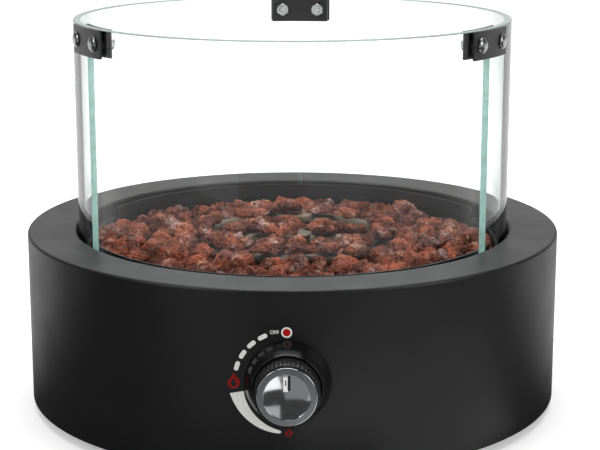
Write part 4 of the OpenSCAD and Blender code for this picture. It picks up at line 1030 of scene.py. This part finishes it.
class Print:
    """Flat marks in the plane of the dial, (right, up) from the knob's axis, laid on the drum."""

    def __init__(self, lift):
        self.shape = Shape()
        self.lift = lift

    def point(self, u, v):
        y = math.sqrt((DRUM_R + self.lift) ** 2 - u ** 2)
        return Vector((u, -y, KNOB_Z + v))

    def strip(self, left, right, closed=False):
        """A band between two rows of points, split lengthwise so that it follows the drum."""
        count = len(left)
        columns = 4
        rows = [[a + (b - a) * k / columns for k in range(columns + 1)]
                for a, b in zip(map(Vector, left), map(Vector, right))]
        points = [self.point(*p) for row in rows for p in row]
        wide = columns + 1
        faces = []
        for i in range(count if closed else count - 1):
            a, b = i * wide, ((i + 1) % count) * wide
            faces += [(a + k, a + k + 1, b + k + 1, b + k) for k in range(columns)]
        self.shape.add(points, faces)

    def finish(self, name, ink):
        mesh = self.shape.mesh(name, [ink])
        build = bmesh.new()
        build.from_mesh(mesh)
        build.normal_update()
        for face in build.faces:
            if face.normal.y > 0:
                face.normal_flip()
        build.to_mesh(mesh)
        build.free()
        return mesh


def on_circle(radius, degrees, centre=(0, 0)):
    return (centre[0] + radius * math.cos(math.radians(degrees)),
            centre[1] + radius * math.sin(math.radians(degrees)))


FLAME = ((0, -0.5), (0.28, -0.44), (0.47, -0.24), (0.46, 0.02), (0.3, 0.22), (0.2, 0.1),
         (0.12, 0.34), (-0.04, 0.5), (-0.06, 0.26), (-0.24, 0.1), (-0.42, -0.08),
         (-0.47, -0.26), (-0.28, -0.44))
FLAME_CORE = ((0, -0.4), (0.13, -0.36), (0.2, -0.24), (0.12, -0.06), (0.0, 0.12),
              (-0.12, -0.06), (-0.2, -0.24), (-0.13, -0.36))


def flame_outline(corners, centre, width, height, steps=48):
    """A plain flame's outline, drawn as a radius round a point low in it."""
    low = -0.22
    polar = sorted((math.atan2(y - low, x) % (2 * math.pi), math.hypot(x, y - low))
                   for x, y in corners)
    polar = [(polar[-1][0] - 2 * math.pi, polar[-1][1])] + polar + [
        (polar[0][0] + 2 * math.pi, polar[0][1])]
    points = []
    for k in range(steps):
        turn = 2 * math.pi * k / steps
        after = next(i for i, (a, r) in enumerate(polar) if a > turn)
        (a, r), (c, t) = polar[after - 1], polar[after]
        reach = r + (t - r) * (turn - a) / (c - a)
        points.append((centre[0] + width * reach * math.cos(turn),
                       centre[1] + height * (low + reach * math.sin(turn))))
    return points


# Where the dial's marks stand: angles from the right, radii and places (right, up), all from
# the knob's axis
DASH_ANGLES = (118, 132.8, 147.6, 162.4)
CRESCENT_FROM, CRESCENT_SWEEP = 192.5, 70.5
CRESCENT_WIDE, CRESCENT_THIN, CRESCENT_INWARD = 4.6, 1.05, 0.7
DOT_RADIUS, DOT_ANGLE = 41.4, 91.2
FLAMES = (((-43.4, 0.8), 10.4, 13.6), ((0.6, -41.4), 6.2, 7.2))  # centre, width, height
WORD_RIGHT, WORD_UP, WORD_SIZE, WORD_BOLD = -10.5, 41.4, 4.2, 0.06
INK_LIFT = 0.08


def printed_arc(layer, radius, rows):
    """Prints a band round the knob's axis. Each row is (angle, half of the band's width)."""
    layer.strip([on_circle(radius - half, turn) for turn, half in rows],
                [on_circle(radius + half, turn) for turn, half in rows])


def printed_ring(layer, centre, inner, outer):
    """Prints a ring between two radii round a centre (right, up)."""
    layer.strip(*([on_circle(radius, 10 * k, centre) for k in range(36)]
                  for radius in (inner, outer)), closed=True)


def printed_word(context, layer, text):
    """Prints a word, whose letters are made flat meshes first."""
    word = bpy.data.curves.new("word", "FONT")
    word.body = text
    word.size = WORD_SIZE
    word.offset = WORD_BOLD
    word.space_character = 0.98
    word.align_x = word.align_y = "CENTER"
    holder = bpy.data.objects.new("word", word)
    context.scene.collection.objects.link(holder)
    depsgraph = context.evaluated_depsgraph_get()
    letters = bpy.data.meshes.new_from_object(holder.evaluated_get(depsgraph))
    layer.shape.add([layer.point(WORD_RIGHT + v.co.x, WORD_UP + v.co.y)
                     for v in letters.vertices], [tuple(p.vertices) for p in letters.polygons])
    bpy.data.objects.remove(holder)


class FIREPIT_OT_dial(bpy.types.Operator):
    """Prints the dial round the knob: OFF, the lighting steps, and large and small flame"""
    bl_idname = "firepit.dial"
    bl_label = "Printed dial"

    def execute(self, context):
        sizes = context.scene.firepit_dial
        radius, dash, thick = in_mm(sizes, "radius", "dash", "dash_width")
        white, red, spot = Print(INK_LIFT), Print(INK_LIFT), Print(INK_LIFT)
        arc = math.degrees(dash / radius)
        straight = 0.58  # share of a dash's half before its round end
        for middle in DASH_ANGLES:
            rows = []
            for k in range(17):
                t = -1 + k / 8
                end = max(0, (abs(t) - straight) / (1 - straight))
                rows.append((middle + t * arc / 2,
                             thick / 2 * math.sqrt(max(0, 1 - end ** 2))))
            printed_arc(white, radius, rows)
        rows = []
        for k in range(37):
            t = k / 36
            end = max(0, (t - 0.975) / 0.025)
            half = CRESCENT_WIDE * (1 - t) ** 0.9 + CRESCENT_THIN
            rows.append((CRESCENT_FROM + CRESCENT_SWEEP * t,
                         half * math.sqrt(max(0, 1 - end ** 2))))
        printed_arc(white, radius - CRESCENT_INWARD, rows)
        dot = on_circle(DOT_RADIUS, DOT_ANGLE)
        printed_ring(white, dot, 3.1, 4.4)
        printed_ring(spot, dot, 0.001, 3.0)
        for centre, width, height in FLAMES:
            red.strip(flame_outline(FLAME_CORE, centre, width, height),
                      flame_outline(FLAME, centre, width, height), True)
        printed_word(context, white, "OFF")
        for name, layer, shade in (("dial_print_white", white, sizes.mark),
                                   ("dial_print_red", red, sizes.flame),
                                   ("dial_print_dot", spot, sizes.dot)):
            ink = printed_enamel(name + "_enamel", tuple(shade))
            place_piece(name, layer.finish(name, ink), HOUSING)
        return {"FINISHED"}


# ---- Stage ----

def any_ray(tree, *kinds):
    """1 for a ray of any of these kinds, from Light Path."""
    path = add_node(tree, "ShaderNodeLightPath").outputs
    value = path[kinds[0]]
    for kind in kinds[1:]:
        value = add_node(tree, "ShaderNodeMath", [value, path[kind]], operation="MAXIMUM")
    return value


def plane(name, corners):
    """A four-sided sheet of the stage."""
    mesh = bpy.data.meshes.new(name)
    mesh.from_pydata(corners, [], [(0, 1, 2, 3)])
    sheet = bpy.data.objects.new(name, mesh)
    bpy.context.scene.collection.objects.link(sheet)
    return sheet


def pale_floor(settings):
    # Matte white paper sweep. Seen directly or through glass it is lifted to white, the more
    # so away from the object, and the object's shadow stays on it. Gloss sees it grey in
    # front, as under a flag, and white behind.
    material = bpy.data.materials.new("paper_sweep")
    tree = emptied(material)
    place = add_node(tree, "ShaderNodeTexCoord").outputs["Object"]
    away = add_node(tree, "ShaderNodeVectorMath", [place], operation="LENGTH").outputs["Value"]
    lift = add_node(tree, "ShaderNodeMapRange", [away, 0.3, 1.6, 0.34, 0.62])
    behind = add_node(tree, "ShaderNodeSeparateXYZ", [place]).outputs["Y"]
    mirrored = add_node(tree, "ShaderNodeMapRange", [behind, -0.04, 0.2, settings.front, 1.0])
    matte = add_node(tree, "ShaderNodeBsdfDiffuse", [rgba(settings.floor)])
    glow = add_node(tree, "ShaderNodeEmission", [WHITE, lift])
    lifted = add_node(tree, "ShaderNodeAddShader", [matte, glow])
    gloss = add_node(tree, "ShaderNodeEmission", [WHITE, mirrored])
    mixed = add_node(tree, "ShaderNodeMixShader", [any_ray(tree, "Is Glossy Ray"), matte, gloss])
    # A ray through glass counts as glossy too, so this mix comes last
    seen = any_ray(tree, "Is Camera Ray", "Is Transmission Ray")
    last = add_node(tree, "ShaderNodeMixShader", [seen, mixed, lifted])
    add_node(tree, "ShaderNodeOutputMaterial", [last])
    return material


def studio_card(name, corners, level):
    """A card of even light or grey felt that only gloss shows."""
    card = plane(name, corners)
    material = bpy.data.materials.new(name)
    tree = emptied(material)
    add_node(tree, "ShaderNodeOutputMaterial", [
        add_node(tree, "ShaderNodeEmission", [WHITE, level])])
    card.data.materials.append(material)
    card.visible_camera = card.visible_diffuse = card.visible_shadow = False
    card.visible_transmission = False


def studio_world(settings):
    """White where it is seen. Gloss and glass show grey side walls and a dark front."""
    world = bpy.data.worlds.new("studio")
    tree = emptied(world)
    outwards = add_node(tree, "ShaderNodeTexCoord").outputs["Generated"]
    way = add_node(tree, "ShaderNodeSeparateXYZ", [outwards]).outputs
    aside = add_node(tree, "ShaderNodeMath", [way["X"]], operation="ABSOLUTE")
    walls, dull = (add_node(tree, "ShaderNodeMapRange", [aside, 0.2, 0.55, middle,
                                                         settings.sides])
                   for middle in (1.0, 0.78))
    behind = add_node(tree, "ShaderNodeMapRange", [way["Y"], 0.3, 0.8, 0.0, 1.0])
    gloss = add_node(tree, "ShaderNodeMix", {"Factor": behind, "A": settings.front, "B": dull},
                     data_type="FLOAT")
    level = settings.ambient
    for kind, shade in (("Is Glossy Ray", gloss), ("Is Transmission Ray", walls),
                        ("Is Camera Ray", 1.0)):
        level = add_node(tree, "ShaderNodeMix", {"Factor": any_ray(tree, kind), "A": level,
                                                 "B": shade}, data_type="FLOAT")
    add_node(tree, "ShaderNodeOutputWorld", [
        add_node(tree, "ShaderNodeBackground", [WHITE, level])])
    return world


# Cards: name, corners in metres and level. Those on the floor have corners (x, y).
FLOOR_CARDS = (
    ("floor_near", ((0.015, -0.33), (0.14, -0.33), (0.18, -0.43), (0.012, -0.43)), 1.5),
    ("floor_left", ((-0.2, -0.33), (0.01, -0.33), (0.005, -0.6), (-0.3, -0.5)), 0.28),
    ("floor_right", ((0.09, -0.25), (0.24, -0.13), (0.6, -0.16), (0.28, -0.6)), 0.6),
    ("floor_spot", ((-0.17, -0.42), (-0.1, -0.45), (-0.13, -0.56), (-0.22, -0.5)), 1.2))
STANDING_CARDS = (
    ("right_card", ((0.12, -1.1, 0.0), (0.75, -1.0, 0.0), (0.75, -1.0, 0.3), (0.12, -1.1, 0.3)),
     0.55),
    ("left_card", ((-0.9, -0.9, 0.0), (-0.5, -1.1, 0.0), (-0.5, -1.1, 0.34), (-0.9, -0.9, 0.34)),
     1.2))
# Name, place, aim, width in metres, power in watts
LAMPS = (("overhead", (0, 0.5, 2.3), (0, 0, 0.1), 2.2, 46),
         ("left_box", (-1.7, -1.5, 1.6), (0, 0, 0.15), 0.9, 12),
         ("right_box", (2.2, -1.5, 1.1), (0, 0, 0.15), 1.5, 20))
FLOOR_REACH, CARD_LIFT = 12, 0.001


class FIREPIT_OT_stage(bpy.types.Operator):
    """Sets up the floor, the studio light and the camera"""
    bl_idname = "firepit.stage"
    bl_label = "Stage"

    def execute(self, context):
        scene = context.scene
        settings = scene.firepit_stage
        scene.view_settings.view_transform = "Standard"
        scene.world = studio_world(settings)

        floor = plane("floor", [(x * FLOOR_REACH, y * FLOOR_REACH, 0)
                                for x, y in ((-1, -1), (1, -1), (1, 1), (-1, 1))])
        floor.data.materials.append(pale_floor(settings))
        for name, corners, level in FLOOR_CARDS:
            studio_card(name, [(x, y, CARD_LIFT) for x, y in corners], level)
        for name, corners, level in STANDING_CARDS:
            studio_card(name, corners, level)

        for name, place, aim, size, power in LAMPS:
            data = bpy.data.lights.new(name, "AREA")
            data.shape = "SQUARE"
            data.size = size
            data.energy = power * settings.key
            lamp = bpy.data.objects.new(name, data)
            lamp.location = place
            lamp.rotation_euler = (Vector(aim) - Vector(place)).to_track_quat("-Z", "Y").to_euler()
            scene.collection.objects.link(lamp)

        data = bpy.data.cameras.new("camera")
        data.lens = 100.3
        data.sensor_width = 36
        camera = bpy.data.objects.new("camera", data)
        camera.location = (0.0246, -1.5036, 0.5042)
        camera.rotation_euler = (math.radians(77.046), 0, math.radians(0.680))
        scene.collection.objects.link(camera)
        scene.camera = camera
        return {"FINISHED"}


class FIREPIT_PT_panel(bpy.types.Panel):
    """Lists the steps that build the fire pit"""
    bl_idname = "FIREPIT_PT_panel"
    bl_label = "Fire pit"
    bl_space_type = "VIEW_3D"
    bl_region_type = "UI"
    bl_category = "Fire pit"

    def draw(self, context):
        for operator in OPERATORS:
            self.layout.operator(operator.bl_idname)


OPERATORS = (FIREPIT_OT_stage, FIREPIT_OT_drum, FIREPIT_OT_bowl, FIREPIT_OT_rocks,
             FIREPIT_OT_burner, FIREPIT_OT_inlet, FIREPIT_OT_guard, FIREPIT_OT_clamps,
             FIREPIT_OT_knob, FIREPIT_OT_dial)
SETTINGS = (("firepit_drum", DrumSettings), ("firepit_guard", GuardSettings),
            ("firepit_clamps", ClampSettings), ("firepit_rocks", RockSettings),
            ("firepit_knob", KnobSettings), ("firepit_dial", DialSettings),
            ("firepit_inlet", InletSettings), ("firepit_stage", StageSettings))


def register():
    for name, group in SETTINGS:
        bpy.utils.register_class(group)
        setattr(bpy.types.Scene, name, bpy.props.PointerProperty(type=group))
    for item in (*OPERATORS, FIREPIT_PT_panel):
        bpy.utils.register_class(item)


def unregister():
    for item in reversed((*OPERATORS, FIREPIT_PT_panel)):
        bpy.utils.unregister_class(item)
    for name, group in reversed(SETTINGS):
        delattr(bpy.types.Scene, name)
        bpy.utils.unregister_class(group)


def main():
    """Builds every piece in order."""
    register()
    bpy.ops.firepit.stage()
    bpy.ops.firepit.drum()
    bpy.ops.firepit.bowl()
    bpy.ops.firepit.rocks()
    bpy.ops.firepit.burner()
    bpy.ops.firepit.inlet()
    bpy.ops.firepit.guard()
    bpy.ops.firepit.clamps()
    bpy.ops.firepit.knob()
    bpy.ops.firepit.dial()


if __name__ == "__main__":
    main()
